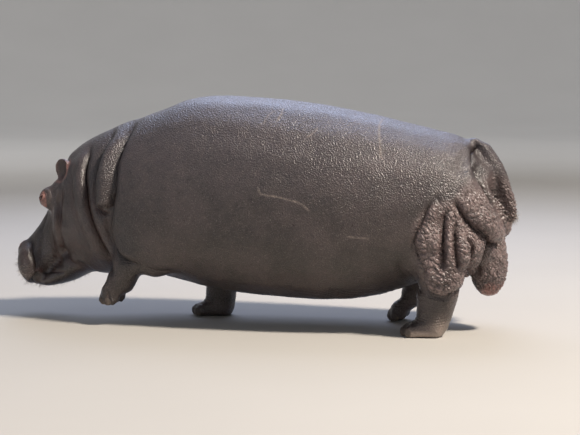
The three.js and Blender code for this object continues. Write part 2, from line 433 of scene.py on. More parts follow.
WRINKLES = tuple(
    Crease(line, depth, 4.5, roll=1.6, reach=14, fade=0.35, inner=60)
    for line, depth in (
        (((-1418, 396), (-1370, 392), (-1320, 380), (-1290, 368)), 4.0),
        (((-1412, 376), (-1362, 372), (-1312, 362), (-1268, 350)), 4.5),
        (((-1404, 356), (-1352, 352), (-1302, 342), (-1262, 330)), 4.5),
        (((-1396, 336), (-1346, 332), (-1296, 324), (-1262, 312)), 4.0),
        (((-1400, 316), (-1352, 314), (-1312, 308)), 3.5),
        (((-1380, 560), (-1386, 500), (-1378, 430)), 2.5),
        (((-1362, 640), (-1372, 560), (-1366, 480), (-1352, 410)), 3.0),
    )
)

RIDGES = (
    # The neck's big roll, and the softer one before it.
    Ridge(((-820, 1240), (-872, 1120), (-905, 1010), (-918, 900), (-920, 800), (-918, 722)),
          40, 48, fade=(0.42, 0.06)),
    Ridge(((-1085, 1090), (-1118, 980), (-1112, 860), (-1090, 740), (-1050, 640)), 15, 40),
    # From under the ear down the cheek.
    Ridge(((-1262, 880), (-1284, 800), (-1288, 700), (-1282, 620), (-1262, 540)), 15, 28,
          fade=(0.22, 0.22)),
    Ridge(((-1215, 640), (-1200, 540), (-1168, 450), (-1110, 390)), 9, 46),
    # Beside the root of the tail, and folds that hang down the back of the buttock.
    Ridge(((1308, 1180), (1330, 1110), (1346, 1040), (1362, 975)), 17, 27),
    Ridge(((1300, 1010), (1342, 925), (1402, 830), (1470, 720), (1505, 640)), 10, 60),
)

BULGES = (
    # Lobes of loose skin on the thigh and the buttock.
    Bulge((1352, 525), (60, 105), 24),
    Bulge((1362, 530), (92, 165), 26, turn=-8),
    Bulge((1455, 690), (120, 110), 14),
    Bulge((1245, 545), (44, 170), 20),
    Bulge((1122, 588), (90, 100), 26),
    Bulge((1190, 362), (110, 80), 20),
    Bulge((1180, 720), (80, 90), 8),
    # Behind the pad of the lip.
    Bulge((-1398, 425), (62, 120), -10),
    # The dip before the root of the tail.
    Bulge((1296, 1040), (62, 110), -15, turn=-22),
    # Elbow, knee and shoulder.
    Bulge((-560, 560), (330, 260), 10),
    Bulge((1010, 380), (80, 90), 12),
    Bulge((-640, 900), (230, 280), -7),
)


def along_path(places: np.ndarray, path: np.ndarray) -> tuple[np.ndarray, np.ndarray, np.ndarray]:
    """Measures places in a plane against a line.

    Args:
        places: Places in the plane, one in each row.
        path: Places along the line, one in each row.

    Returns:
        The distance from the line, positive on its left; the share of its length reached; and
        the direction to the nearest place on it.
    """
    steps = np.diff(path, axis=0)
    length = np.linalg.norm(steps, axis=1)
    before = np.concatenate([[0], np.cumsum(length)])
    best = np.full(len(places), 1e9)
    signed = np.zeros(len(places))
    share = np.zeros(len(places))
    toward = np.zeros((len(places), 2))
    for start, step, size, done in zip(path, steps, length, before):
        off = places - start
        t = np.clip(off @ step / size**2, 0, 1)
        gap = off - t[:, None] * step
        away = np.linalg.norm(gap, axis=1)
        closer = away < best
        best = np.where(closer, away, best)
        left = np.sign(step[0] * off[:, 1] - step[1] * off[:, 0])
        signed = np.where(closer, away * left, signed)
        share = np.where(closer, (done + t * size) / before[-1], share)
        toward[closer] = -gap[closer]
    return signed, share, unit(toward)


class Surface:
    """The hide's mesh as arrays, with what sculpting needs to know about it."""

    def __init__(self, mesh: bpy.types.Mesh, head: HeadAxes) -> None:
        """Reads a mesh.

        Args:
            mesh: The mesh that is shaped.
            head: The head's axes.
        """
        self.mesh = mesh
        self.head = head
        self.points = read(mesh.vertices, "co", 3).astype(float)
        edges = read(mesh.edges, "vertices", 2, np.int32)
        self.starts = np.concatenate([edges[:, 0], edges[:, 1]])
        self.ends = np.concatenate([edges[:, 1], edges[:, 0]])
        self.valence = np.bincount(self.starts, minlength=len(self.points)).astype(float)
        self.masks: dict[str, np.ndarray] = {}

    def mean_around(self, values: np.ndarray) -> np.ndarray:
        """Each vertex's mean over its neighbours.

        Args:
            values: One value or one row for each vertex.

        Returns:
            The means, in the same shape.
        """
        many = values.reshape(len(self.points), -1)
        columns = [
            np.bincount(self.starts, column[self.ends], minlength=len(many)) / self.valence
            for column in many.T
        ]
        return np.stack(columns, axis=1).reshape(values.shape)

    def relax(self, spread: np.ndarray, spacing: float) -> None:
        """Smooths the shape by a distance that varies over it.

        Args:
            spread: How far each vertex is smoothed, in metres.
            spacing: The usual distance between vertices, in metres.
        """
        rate = 0.7
        rounds = spread**2 / (0.5 * rate * spacing**2)
        for done in range(int(math.ceil(rounds.max()))):
            share = np.clip(rounds - done, 0, 1)[:, None] * rate
            self.points += share * (self.mean_around(self.points) - self.points)

    def normals(self) -> np.ndarray:
        """The outward direction at each vertex, after writing the shape back."""
        self.write()
        return unit(read(self.mesh.vertices, "normal", 3).astype(float))

    def write(self) -> None:
        """Writes the shape back to the mesh."""
        self.mesh.vertices.foreach_set("co", self.points.astype(np.float32).ravel())
        self.mesh.update()

    def seen_in(self, plane: Plane) -> np.ndarray:
        """The vertices as a plane has them.

        Args:
            plane: The plane.

        Returns:
            Two distances in metres for each vertex.
        """
        if plane is Plane.FLANK:
            return self.points[:, [0, 2]] - np.array([self.head.origin[0] - DATUM, 0.0])
        local = self.head.local(self.points)
        if plane is Plane.FACE:
            return local[:, [0, 2]]
        return np.stack([local[:, 0], np.abs(local[:, 1])], axis=1)

    def mask(self, name: str) -> np.ndarray:
        """A painted mask over the vertices, which starts empty."""
        return self.masks.setdefault(name, np.zeros(len(self.points)))

    def paint(self, name: str, amount: np.ndarray, rows: np.ndarray | slice = slice(None)) -> None:
        """Raises a mask wherever the new amount is more."""
        mask = self.mask(name)
        mask[rows] = np.maximum(mask[rows], np.clip(amount, 0, 1))

    def keep_masks(self) -> None:
        """Stores the masks on the mesh for its material."""
        for name, values in self.masks.items():
            layer = self.mesh.attributes.new(name, "FLOAT", "POINT")
            layer.data.foreach_set("value", values.astype(np.float32))


class Sculptor:
    """Works creases, rolls and wrinkles into a surface."""

    def __init__(self, surface: Surface) -> None:
        """Keeps the shape and the outward directions as they are before sculpting.

        Args:
            surface: The surface that is worked.
        """
        self.surface = surface
        self.rest = surface.points.copy()
        self.outward = surface.normals()
        self.grain = Grain(seed=11)

    def near_line(
        self,
        line: Sequence[Sequence[float]],
        plane: Plane,
        margin: float,
        inner: float = 0.0,
    ) -> tuple[np.ndarray, np.ndarray, np.ndarray, np.ndarray]:
        """Finds what lies near a line.

        Args:
            line: Places along the line, in mm.
            plane: The plane in which it is drawn.
            margin: How far from the line is near, in mm.
            inner: The least distance from the middle plane, in mm.

        Returns:
            The rows near it, and what along_path says of them.
        """
        path = curve_through(line) * MM
        seen = self.surface.seen_in(plane)
        low, high = path.min(0) - margin * MM, path.max(0) + margin * MM
        inside = ((seen > low) & (seen < high)).all(1)
        wide = np.abs(self.surface.points[:, 1])
        inside &= wide > inner * MM
        if inner:
            inside &= self.outward[:, 1] * np.sign(self.surface.points[:, 1]) > INWARD
        rows = np.flatnonzero(inside)
        return rows, *along_path(seen[rows], path)

    def lift(self, rows: np.ndarray | slice, rise: np.ndarray) -> None:
        """Moves some vertices outward, by so many metres each."""
        self.surface.points[rows] += self.outward[rows] * rise[:, None]

    def cut(self, crease: Crease) -> None:
        """Works in one crease, with its roll, and paints shade along it, stronger the deeper it
        lies.

        Args:
            crease: The crease.
        """
        margin = max(crease.reach * 1.4, crease.width * 5)
        rows, signed, share, toward = self.near_line(
            crease.line, Plane.FLANK, margin, crease.inner
        )
        wide = np.abs(self.surface.points[rows, 1])
        fade = dying_ends(share, crease.fade, crease.fade)
        if crease.inner:
            fade = fade * ease(wide, crease.inner * MM, (crease.inner + 30) * MM)
        away = np.abs(signed)
        width, reach = crease.width * MM, crease.reach * MM
        groove = 0.6 * np.exp(-away / width) + 0.4 * bell(away, 2 * width)
        beside = signed * crease.side
        swell = bell(beside - 0.55 * reach, 0.42 * reach)
        rise = (crease.roll * swell - crease.depth * groove) * fade * MM
        self.lift(rows, rise)
        if crease.lean:
            hang = bell(beside - 0.3 * reach, 0.3 * reach) * fade
            along = np.stack([toward[:, 0], np.zeros(len(rows)), toward[:, 1]], axis=1)
            along -= (along * self.outward[rows]).sum(1)[:, None] * self.outward[rows]
            self.surface.points[rows] += along * (hang * crease.lean * MM)[:, None]
        # painted shade along the groove
        strength = np.clip(crease.depth / 20, 0.25, 1)
        self.surface.paint("hollow", bell(away, 1.5 * width) * fade * strength, rows)

    def raise_ridge(self, ridge: Ridge) -> None:
        """Raises one sausage of skin.

        Args:
            ridge: The sausage.
        """
        rows, signed, share, _ = self.near_line(ridge.line, Plane.FLANK, ridge.width * 2.6)
        fade = dying_ends(share, *ridge.fade)
        rise = ridge.height * bell(signed, ridge.width * MM) * fade * MM
        self.lift(rows, rise)

    def swell(self, bulge: Bulge) -> None:
        """Fills out one soft mass.

        Args:
            bulge: The mass.
        """
        seen = self.surface.seen_in(Plane.FLANK)
        off = seen - np.array(bulge.at) * MM
        turn = math.radians(bulge.turn)
        across = off @ np.array([math.cos(turn), math.sin(turn)]) / (bulge.half[0] * MM)
        up = off @ np.array([-math.sin(turn), math.cos(turn)]) / (bulge.half[1] * MM)
        share = np.clip(1 - across**2 - up**2, 0, 1) ** 1.5
        side = ease(np.abs(self.outward[:, 1]), 0.1, 0.5)
        self.surface.points += self.outward * (share * side * bulge.height * MM)[:, None]

    def oval_share(self, middle: Sequence[float], half: Sequence[float]) -> np.ndarray:
        """How far inside an oval on the flank each vertex lies: 1 in its middle, 0 at its edge."""
        off = (self.surface.seen_in(Plane.FLANK) - np.array(middle) * MM) / (np.array(half) * MM)
        return np.clip(1 - (off**2).sum(1), 0, 1)


@dataclass
class Ear:
    """A small thick ear on a stalk, cupped outward and a little forward.

    Sizes are in metres.
    """

    middle: np.ndarray
    side: float
    half_width: float = 0.054
    half_height: float = 0.074
    root: float = 0.150
    stalk: float = 0.028
    depth: float = 0.042
    wall: float = 0.0145
    turn: float = math.radians(24)
    lean: float = math.radians(12)
    around: int = 22
    along: int = 34

    def axes(self) -> np.ndarray:
        """Finds which way the ear is turned.

        Returns:
            Its width, cup and height directions, one in each row.
        """
        cup = np.array([-math.sin(self.turn), self.side * math.cos(self.turn), 0.0])
        up = unit(np.array([0.0, self.side * math.sin(self.lean), math.cos(self.lean)]))
        cup = unit(cup - cup @ up * up)
        return np.stack([np.cross(up, cup), cup, up])

    def local(self, places: np.ndarray) -> np.ndarray:
        """Places in the ear's own axes."""
        return (places - self.middle) @ self.axes().T

    def mesh(self) -> bpy.types.Mesh:
        """Makes a closed leaf on a stalk, hollowed on its outer face.

        Returns:
            The leaf, where it stands on the head.
        """
        rings = []
        for height in np.linspace(-self.root, self.half_height, self.along):
            share = height / self.half_height
            leaf = self.half_width * max(1 - abs(share) ** 2.5, 0.0) ** 0.5 * (1 + 0.08 * share)
            half = max(leaf, self.stalk * float(ease(np.array(-share), 0.0, 0.9)), 0.002)
            back = self.depth * (half / self.half_width) ** 0.8
            open_share = float(ease(np.array(share), -0.92, -0.45))
            thick = back + (self.wall - back) * open_share
            turns = np.linspace(-math.pi / 2, math.pi / 2, self.around)
            outer = np.stack([half * np.sin(turns), -back * np.cos(turns)], axis=1)
            lip = max(half - 0.8 * self.wall * open_share, 0.001)
            inner = np.stack(
                [lip * np.sin(turns[::-1]), (thick - back) * np.cos(turns[::-1]) + 0.006],
                axis=1,
            )
            bend = 0.014 * max(share, 0.0) ** 2
            ring = np.vstack([outer, inner])
            level = np.full(len(ring), height)
            rings.append(np.column_stack([ring[:, 0], ring[:, 1] - bend, level]))
        points = np.vstack(rings) @ self.axes() + self.middle
        count = 2 * self.around
        faces = [list(range(count))[::-1], *tube(self.along, count)]
        faces.append(list(range(len(points) - count, len(points))))
        mesh = mesh_of("ear", points, faces)
        bm = bmesh.new()
        bm.from_mesh(mesh)
        bmesh.ops.recalc_face_normals(bm, faces=bm.faces)
        bm.to_mesh(mesh)
        bm.free()
        return mesh


@dataclass
class EyeSocket:
    """Where an eye lies and how its lids are cut. Sizes are in metres."""

    middle: np.ndarray
    radius: float
    side: float
    head: HeadAxes
    half_slit: tuple[float, float] = (0.0185, 0.0115)
    lid: float = 0.0045

    def axes(self) -> np.ndarray:
        """Finds which way the eye looks.

        Returns:
            The directions along the slit, across it and out of the eye, one in each row.
        """
        along, sideways, crown = self.head.turn
        out = unit(0.30 * along + 0.86 * self.side * sideways + 0.40 * crown)
        slit = unit(along - along @ out * out)
        return np.stack([slit, np.cross(out, slit), out])

    def local(self, places: np.ndarray) -> np.ndarray:
        """Places in the eye's own axes."""
        return (places - self.middle) @ self.axes().T

    def world(self, places: np.ndarray) -> np.ndarray:
        """Places given in the eye's own axes, in the frame's."""
        return places @ self.axes() + self.middle


@dataclass
class Hide:
    """The one hide over head, neck, trunk, tail, legs, feet and ears.

    Attributes:
        flesh: The nodes that it replaces.
        toes: The nodes of the nails, which only lend it their toe tips.
        head: The head's axes.
        sockets: The two eyes' places.
        coarse: Spacing of the first, smooth mesh, in metres.
        fine: Spacing of the sculpted mesh, in metres.
        ears: The two ears.
        slimmer: How much is taken off the tail all round, in metres.
    """

    flesh: list[str]
    toes: list[str]
    head: HeadAxes
    sockets: list[EyeSocket]
    coarse: float = 0.012
    fine: float = 0.007
    ears: list[Ear] = field(default_factory=list)
    slimmer: float = 0.004

    def build(self, nodes: dict[str, bpy.types.Object]) -> bpy.types.Object:
        """Makes the whole hide.

        Args:
            nodes: The frame's nodes by name.

        Returns:
            The finished piece, without its material.
        """
        solid = [nodes[n].data for n in self.flesh + self.toes if not n.startswith("ear")]
        base = self.fused("hide_base", solid, self.coarse)
        surface = Surface(base, self.head)
        surface.relax(self.softness(surface.points), self.coarse)
        surface.write()
        log.info("hide base: %d vertices", len(surface.points))
        ears = [ear.mesh() for ear in self.ears]
        mesh = self.fused("hide", [base, *ears], self.fine)
        surface = Surface(mesh, self.head)
        surface.relax(np.where(surface.points[:, 2] < 0.2, 0.005, 0.007), self.fine)
        surface.write()
        log.info("hide evenly meshed: %d vertices", len(surface.points))
        self.refine(mesh, self.wants_detail)
        self.refine(mesh, self.near_eye)
        surface = Surface(mesh, self.head)
        surface.relax(np.full(len(surface.points), 0.0025), self.fine / 2)
        self.sculpt(surface)
        surface.write()
        surface.keep_masks()
        smooth_shaded(mesh)
        piece = place_object("hide", mesh)
        log.info("hide sculpted: %d vertices, %d faces", len(mesh.vertices), len(mesh.polygons))
        return piece

    @staticmethod
    def fused(name: str, meshes: Sequence[bpy.types.Mesh], spacing: float) -> bpy.types.Mesh:
        """Fuses closed meshes into one of even squares.

        Args:
            name: The new mesh's name.
            meshes: The closed meshes.
            spacing: The squares' size, in metres.

        Returns:
            The new mesh.
        """
        bm = bmesh.new()
        for mesh in meshes:
            bm.from_mesh(mesh)
        together = bpy.data.meshes.new(name + "_parts")
        bm.to_mesh(together)
        bm.free()
        holder = place_object(name + "_holder", together)
        remesh = holder.modifiers.new("fuse", "REMESH")
        remesh.mode = "VOXEL"
        remesh.voxel_size = spacing
        depsgraph = bpy.context.evaluated_depsgraph_get()
        mesh = bpy.data.meshes.new_from_object(holder.evaluated_get(depsgraph))
        mesh.name = name
        mesh.materials.clear()
        bpy.data.objects.remove(holder)
        bpy.data.meshes.remove(together)
        return mesh

    def softness(self, points: np.ndarray) -> np.ndarray:
        """How far the base is smoothed: much on the trunk, little on face, feet and tail.

        Args:
            points: The base's places.

        Returns:
            A distance for each, in metres.
        """
        x, y, z = points.T
        soft = np.full(len(points), 0.058)
        local = self.head.local(points)
        in_head = ease(-x, 1.02, 1.24)
        soft += (0.020 - soft) * in_head
        orbit = ease(local[:, 2], 0.10, 0.16) * ease(-x, 1.1, 1.2)
        soft += (0.014 - soft) * orbit
        leg = ease(-z, -0.42, -0.24)
        soft += (0.024 - soft) * leg * (1 - in_head)
        foot = ease(-z, -0.20, -0.10)
        soft += (0.009 - soft) * foot * (1 - in_head)
        lifted = ease(-z, -0.34, -0.26) * ease(-x, 0.62, 0.68) * ease(-y, 0.1, 0.2) * (1 - in_head)
        soft += (0.010 - soft) * lifted
        rear = ease(x, 1.0, 1.3)
        soft += (0.030 - soft) * rear * (1 - foot) * (1 - leg)
        tail = ease(x, 1.22, 1.32) * ease(-np.abs(y), -0.22, -0.14) * ease(z, 0.55, 0.65)
        soft += (0.011 - soft) * tail
        return soft

    def wants_detail(self, points: np.ndarray) -> np.ndarray:
        """Tells which places are meshed twice as finely: head, rump, tail and feet.

        Args:
            points: Places on the hide.

        Returns:
            True for each that is.
        """
        x, y, z = points.T
        head = x < -1.16
        rump = (x > 1.0) & (z > 0.2) & (z < 0.86)
        tail = (x > 1.2) & (np.abs(y) < 0.2) & (z > 0.6)
        feet = z < 0.13
        return head | rump | tail | feet

    def near_eye(self, points: np.ndarray) -> np.ndarray:
        """Which places are meshed more finely still: those round the eyes."""
        near = [np.linalg.norm(points - eye.middle, axis=1) < 0.075 for eye in self.sockets]
        return near[0] | near[1]

    @staticmethod
    def refine(mesh: bpy.types.Mesh, wanted: Callable[[np.ndarray], np.ndarray]) -> None:
        """Divides a mesh's edges in half wherever it is wanted.

        Args:
            mesh: The mesh, which is changed.
            wanted: Tells of places, one in each row, which are to be finer.
        """
        chosen = wanted(read(mesh.vertices, "co", 3).astype(float))
        ends = read(mesh.edges, "vertices", 2, np.int32)
        rows = np.flatnonzero(chosen[ends].all(1))
        bm = bmesh.new()
        bm.from_mesh(mesh)
        bm.edges.ensure_lookup_table()
        edges = [bm.edges[i] for i in rows.tolist()]
        bmesh.ops.subdivide_edges(bm, edges=edges, cuts=1, use_grid_fill=True)
        bm.to_mesh(mesh)
        bm.free()

    def sculpt(self, surface: Surface) -> None:
        """Works all the hide's folds and wrinkles in, and paints its masks.

        Args:
            surface: The smooth hide.
        """
        sculptor = Sculptor(surface)
        for bulge in BULGES:
            sculptor.swell(bulge)
        for ridge in RIDGES:
            sculptor.raise_ridge(ridge)
        for crease in CREASES + WRINKLES:
            sculptor.cut(crease)
        self.wrinkle_rump(sculptor)
        self.wrinkle_body(sculptor)
        self.ring_tail(sculptor)
        self.open_nostrils(sculptor)
        for socket in self.sockets:
            self.set_lids(surface, socket)
        self.paint(sculptor)
        surface.points[:, 2] = np.maximum(surface.points[:, 2], FLOOR_GAP)

    def rump_share(self, sculptor: Sculptor) -> np.ndarray:
        """How strongly each place belongs to the loose, netted skin of the rump.

        Args:
            sculptor: The hide's sculptor.

        Returns:
            A share from 0 to 1 for each vertex.
        """
        x, _, z = sculptor.rest.T
        ovals = [((1230, 520), (250, 330)), ((1430, 720), (210, 260)), ((1440, 400), (190, 260))]
        share = np.zeros(len(x))
        for middle, half in ovals:
            share = np.maximum(share, ease(sculptor.oval_share(middle, half), 0.0, 0.45))
        share *= ease(z, 0.19, 0.27)
        edge = curve_through(SACK) * MM
        signed, _, _ = along_path(sculptor.surface.seen_in(Plane.FLANK), edge)
        outside = ease(-signed, -0.012, 0.030) * ease(-z, -0.72, -0.60)
        share *= 1 - 0.85 * outside * (x < 1.36)
        return share * (1 - 0.55 * ease(z, 0.72, 0.95))

    def wrinkle_rump(self, sculptor: Sculptor) -> None:
        """Covers the rump with a slanting net of pads, broad in some places and small in others.

        Args:
            sculptor: The hide's sculptor.
        """
        surface = sculptor.surface
        share = self.rump_share(sculptor)
        rows = np.flatnonzero(share > 0.01)
        places = sculptor.rest[rows]
        grain = sculptor.grain
        warp = 0.012 * np.stack([grain.swells(places + k, 0.06) for k in (0.0, 3.1, 7.7)], 1)
        turn = math.radians(-38)
        slant = np.array([[math.cos(turn), 0, math.sin(turn)], [0, 1, 0],
                          [-math.sin(turn), 0, math.cos(turn)]])
        stretched = (places + warp) @ slant.T * np.array([0.50, 0.9, 1.2])
        broad = ease(grain.net(stretched, 0.034), 0.0, 0.62)
        pads = ease(grain.net(stretched + 5.0, 0.019), 0.0, 0.62)
        small = ease(grain.net(stretched + 2.0, 0.011), 0.0, 0.7)
        lumps = grain.swells(places, 0.075)
        part = ease(grain.swells(places + 8.0, 0.09), -0.35, 0.35)
        fade = share[rows]
        rise = (4.6 + 3.4 * part) * (pads - 0.66) + (6.5 - 3.5 * part) * (broad - 0.66)
        rise = (rise + 2.2 * (small - 0.6) + 5.0 * lumps) * fade * MM
        sculptor.lift(rows, rise)
        # painted shade in the net's grooves
        narrow = (0.55 + 0.4 * part) * (1 - ease(pads, 0.0, 0.5))
        surface.paint("hollow", np.maximum(narrow, 0.8 - 0.8 * ease(broad, 0.0, 0.4)) * fade, rows)
        surface.paint("loose", share)
        surface.relax(0.0014 * ease(share, 0.0, 0.2), self.fine / 2)

    def wrinkle_body(self, sculptor: Sculptor) -> None:
        """Gives the rest of the body its slack unevenness and fine folds.

        Args:
            sculptor: The hide's sculptor.
        """
        places = sculptor.rest
        x, _, z = places.T
        grain = sculptor.grain
        rise = 2.4 * grain.swells(places, 0.16) + 1.1 * grain.swells(places + 5.0, 0.07)
        neck = ease(-x, 0.72, 0.90) * ease(x, -1.24, -1.10)
        bent = places + 0.03 * grain.swells(places + 9.0, 0.2)[:, None]
        lines = np.sin((bent[:, 0] * 1.0 + 0.28 * bent[:, 2]) * 2 * math.pi / 0.034)
        rise += 1.1 * neck * lines * grain.swells(places + 2.0, 0.09)
        ankle = bell(z - 0.115, 0.035) * ease(-z, -0.22, -0.18)
        rise += 1.6 * ankle * np.sin(bent[:, 2] * 2 * math.pi / 0.016)
        knee = bell(z - 0.24, 0.05) * ease(x, 0.2, 0.4)
        rise += 1.2 * knee * np.sin((bent[:, 2] + 0.3 * bent[:, 0]) * 2 * math.pi / 0.026)
        face = ease(-x, 1.16, 1.26)
        rise += face * (0.9 * grain.swells(places + 1.0, 0.022) - 1.2 * grain.swells(places, 0.16))
        calm = ease(-z, -0.035, -0.01)
        sculptor.lift(slice(None), rise * (1 - calm) * MM)

    def ring_tail(self, sculptor: Sculptor) -> None:
        """Thins the tail a little and rings it with creases, deeper towards its tip.

        Args:
            sculptor: The hide's sculptor.
        """
        surface = sculptor.surface
        x, y, z = sculptor.rest.T
        on_tail = ease(x, 1.30, 1.40) * ease(-np.abs(y), -0.085, -0.065) * ease(z, 0.60, 0.64)
        rows = np.flatnonzero(on_tail > 0.01)
        places = sculptor.rest[rows]
        along = (1.17 - places[:, 2]) + 0.25 * (places[:, 0] - 1.3)
        bent = along + 0.006 * sculptor.grain.swells(places, 0.03)
        tip = ease(along, 0.16, 0.46)
        rings = 1 - np.abs(np.sin(bent * math.pi / 0.021)) ** 0.7
        pads = ease(sculptor.grain.net(places * np.array([1.0, 1.0, 1.5]), 0.018), 0.0, 0.7)
        rise = (-3.4 * rings * tip + 1.8 * (pads - 0.6)) * on_tail[rows] * MM
        sculptor.lift(rows, rise)
        # painted shade in the tail's ring creases
        surface.paint("hollow", 0.7 * rings * tip * on_tail[rows], rows)
        sculptor.lift(rows, -self.slimmer * on_tail[rows])

    def open_nostrils(self, sculptor: Sculptor) -> None:
        """Cuts the two slanting slits on top of the muzzle, each with a raised rim.

        Args:
            sculptor: The hide's sculptor.
        """
        surface = sculptor.surface
        slit = ((556, 66), (578, 74), (602, 88), (620, 108))
        rows, signed, share, _ = sculptor.near_line(slit, Plane.CROWN, 60)
        local = self.head.local(sculptor.rest[rows])
        up = ease(sculptor.outward[rows] @ self.head.turn[2], 0.2, 0.6) * (local[:, 2] > 0)
        fade = dying_ends(share, 0.22, 0.22) * up
        away = np.abs(signed)
        hole = bell(away, 0.0075)
        rim = bell(away - 0.017, 0.008)
        rise = (4.5 * rim * np.sqrt(fade) - 22 * hole * fade) * MM
        sculptor.lift(rows, rise)
        # painted shade in the nostril slits
        surface.paint("hollow", hole * fade, rows)
        surface.paint("blush", 0.5 * rim * fade, rows)

    @staticmethod
    def set_lids(surface: Surface, socket: EyeSocket) -> None:
        """Draws the hide over an eyeball as two thick, folded lids with a slit between them.

        Args:
            surface: The hide.
            socket: Where the eye lies.
        """
        local = socket.local(surface.points)
        reach = np.linalg.norm(local, axis=1)
        rows = np.flatnonzero((reach < 0.085) & (local[:, 2] > -0.02))
        near = local[rows]
        along, across = socket.half_slit
        tilt = near[:, 1] / np.where(near[:, 1] > 0, across, across * 0.85)
        opening = np.sqrt((near[:, 0] / along) ** 2 + tilt**2)
        flat = np.hypot(near[:, 0] / 1.12, near[:, 1])
        peak = socket.radius + socket.lid + 0.006
        hump = peak * np.exp(-((flat / 0.029) ** 2.2)) - 0.006
        soft = 0.005
        top = np.maximum(hump, near[:, 2])
        lid = top + soft * np.log(np.exp((hump - top) / soft) + np.exp((near[:, 2] - top) / soft))
        keep = ease(-flat, -0.062, -0.040)
        lid = near[:, 2] + (lid - near[:, 2]) * keep
        rim = 0.0026 * bell(opening - 1.20, 0.15)
        folds = np.zeros(len(near))
        for at, depth, width in ((1.72, 0.0038, 0.13), (2.35, 0.0030, 0.15), (3.05, 0.0022, 0.2)):
            wave = at + 0.12 * np.sin(near[:, 0] * 70 + at * 5)
            folds -= depth * bell(opening - wave, width)
        lid = lid + (rim + folds) * keep
        inside = ease(-opening, -1.07, -0.95)
        near[:, 2] = lid + (socket.radius * 0.3 - lid) * inside
        surface.points[rows] = socket.world(near)
        margin = bell(opening - 1.1, 0.22)
        around = 0.62 * ease(-opening, -2.5, -1.5)
        surface.paint("blush", np.maximum(0.85 * margin, around), rows)
        # painted shade in the folds round the lids
        surface.paint("hollow", 0.7 * np.clip(-folds / 0.0038, 0, 1), rows)

    @staticmethod
    def paint_ear(sculptor: Sculptor, ear: Ear) -> None:
        """Reddens an ear, with painted shade in its cup and a bright pink rim that is partly its
        own colour and partly a painted highlight.

        Args:
            sculptor: The hide's sculptor.
            ear: The ear.
        """
        surface = sculptor.surface
        local = ear.local(sculptor.rest)
        wide, cup, high = local.T
        near = np.abs(wide) < ear.half_width + 0.012
        near &= (cup > -ear.depth - 0.010) & (cup < 0.030)
        near &= (high > -0.115) & (high < ear.half_height + 0.012)
        rows = np.flatnonzero(near)
        share = high[rows] / ear.half_height
        leaf = np.sqrt(np.clip(1 - np.abs(share) ** 2.5, 0, 1))
        edge = np.abs(wide[rows]) / (ear.half_width * np.maximum(leaf, 0.05))
        facing = sculptor.outward[rows] @ ear.axes()[1]
        stalk = ease(-share, 0.75, 0.95)
        inside = (facing > 0.1) & (edge < 0.98) & (share > -0.95) & (share < 0.95)
        on_leaf = ease(share, -1.1, -0.8) * (edge < 1.5)
        outside = np.where(inside, 0.22, 0.40)
        surface.paint("blush", outside * on_leaf + 0.30 * stalk * ease(share, -1.5, -1.2), rows)
        # painted shade in the ear's cup
        surface.paint("hollow", 0.85 * inside * ease(-cup[rows], 0.002, 0.016), rows)
        # pink rim: its own colour, brightened as a painted highlight where light catches it
        rim = bell(edge - 1.0, 0.16) * ease(cup[rows], -0.014, -0.002) * on_leaf
        surface.paint("blush", 0.8 * rim, rows)

    def paint(self, sculptor: Sculptor) -> None:
        """Paints where the hide is pink, dusty or scratched.

        Args:
            sculptor: The hide's sculptor.
        """
        surface = sculptor.surface
        places = sculptor.rest
        x, y, z = places.T
        mottle = 0.5 + 0.5 * sculptor.grain.swells(places + 4.0, 0.05)
        for socket in self.sockets:
            local = socket.local(places)
            down = local[:, 1] * socket.side * -1
            fall, level = (local[:, 0] + down) / math.sqrt(2), (local[:, 0] - down) / math.sqrt(2)
            oval = (level / 0.034) ** 2 + ((fall - 0.010) / 0.058) ** 2
            surface.paint("blush", 0.85 * ease(1 - oval, 0.0, 0.3) * (local[:, 2] > -0.02))
        for ear in self.ears:
            self.paint_ear(sculptor, ear)
        lobe = sculptor.oval_share((1478, 232), (115, 105)) * ease(x, 1.33, 1.40)
        wave = 0.025 * sculptor.grain.swells(places + 6.0, 0.04)
        low = ease(-z + wave, -0.35, -0.27)
        surface.paint("blush", ease(lobe, 0.02, 0.4) * low * (0.75 + 0.25 * mottle))
        corner = sculptor.oval_share((-1420, 304), (22, 26))
        surface.paint("blush", 0.16 * ease(corner, 0.0, 0.8) * (np.abs(y) > 0.1))
        muzzle = sculptor.oval_share((-1500, 350), (110, 170))
        surface.paint("blush", 0.06 * ease(muzzle, 0.0, 0.5) * mottle)
        throat = sculptor.oval_share((-1000, 430), (240, 260))
        surface.paint("blush", 0.10 * ease(throat, 0.0, 0.6) * mottle)
        rump = self.rump_share(sculptor)
        surface.paint("blush", 0.20 * rump * (0.4 + 0.6 * mottle))
        hollow = surface.mask("hollow")
        neck = ease(-x, 0.8, 0.95) * ease(x, -1.38, -1.30)
        surface.paint("blush", 0.30 * hollow * neck * ease(-z, -1.0, -0.7))
        heel = bell(x - 1.190, 0.05) * ease(-z, -0.17, -0.02) * (y < 0)
        rim = ease(-z, -0.055, -0.018) * (y < 0) * (x > 0.85)
        surface.paint("dust", np.maximum(heel, rim) * (0.55 + 0.45 * mottle))
        for line, width in SCRATCHES:
            rows, signed, share, _ = sculptor.near_line(line, Plane.FLANK, 12)
            fade = dying_ends(share, 0.1, 0.1) * (surface.points[rows, 1] < 0)
            wander = sculptor.grain.swells(places[rows], 0.02)
            mark = bell(signed, width * MM) * (0.65 + 0.5 * wander) * fade
            surface.paint("scratch", mark, rows)


SCRATCHES = (
    (((104, 900), (114, 868), (136, 843), (216, 833), (289, 817), (368, 795), (440, 738)), 4.5),
    (((772, 1290), (776, 1248), (786, 1209), (808, 1136), (818, 1080), (843, 1045)), 5.0),
    (((640, 604), (700, 600), (782, 594)), 3.5),
    (((185, 1344), (185, 1310), (172, 1262)), 4.5),
    (((425, 1242), (412, 1209), (369, 1174)), 3.5),
    (((141, 1332), (110, 1298), (96, 1247)), 3.5),
)


# ---- Eyes, nails and bristles ----


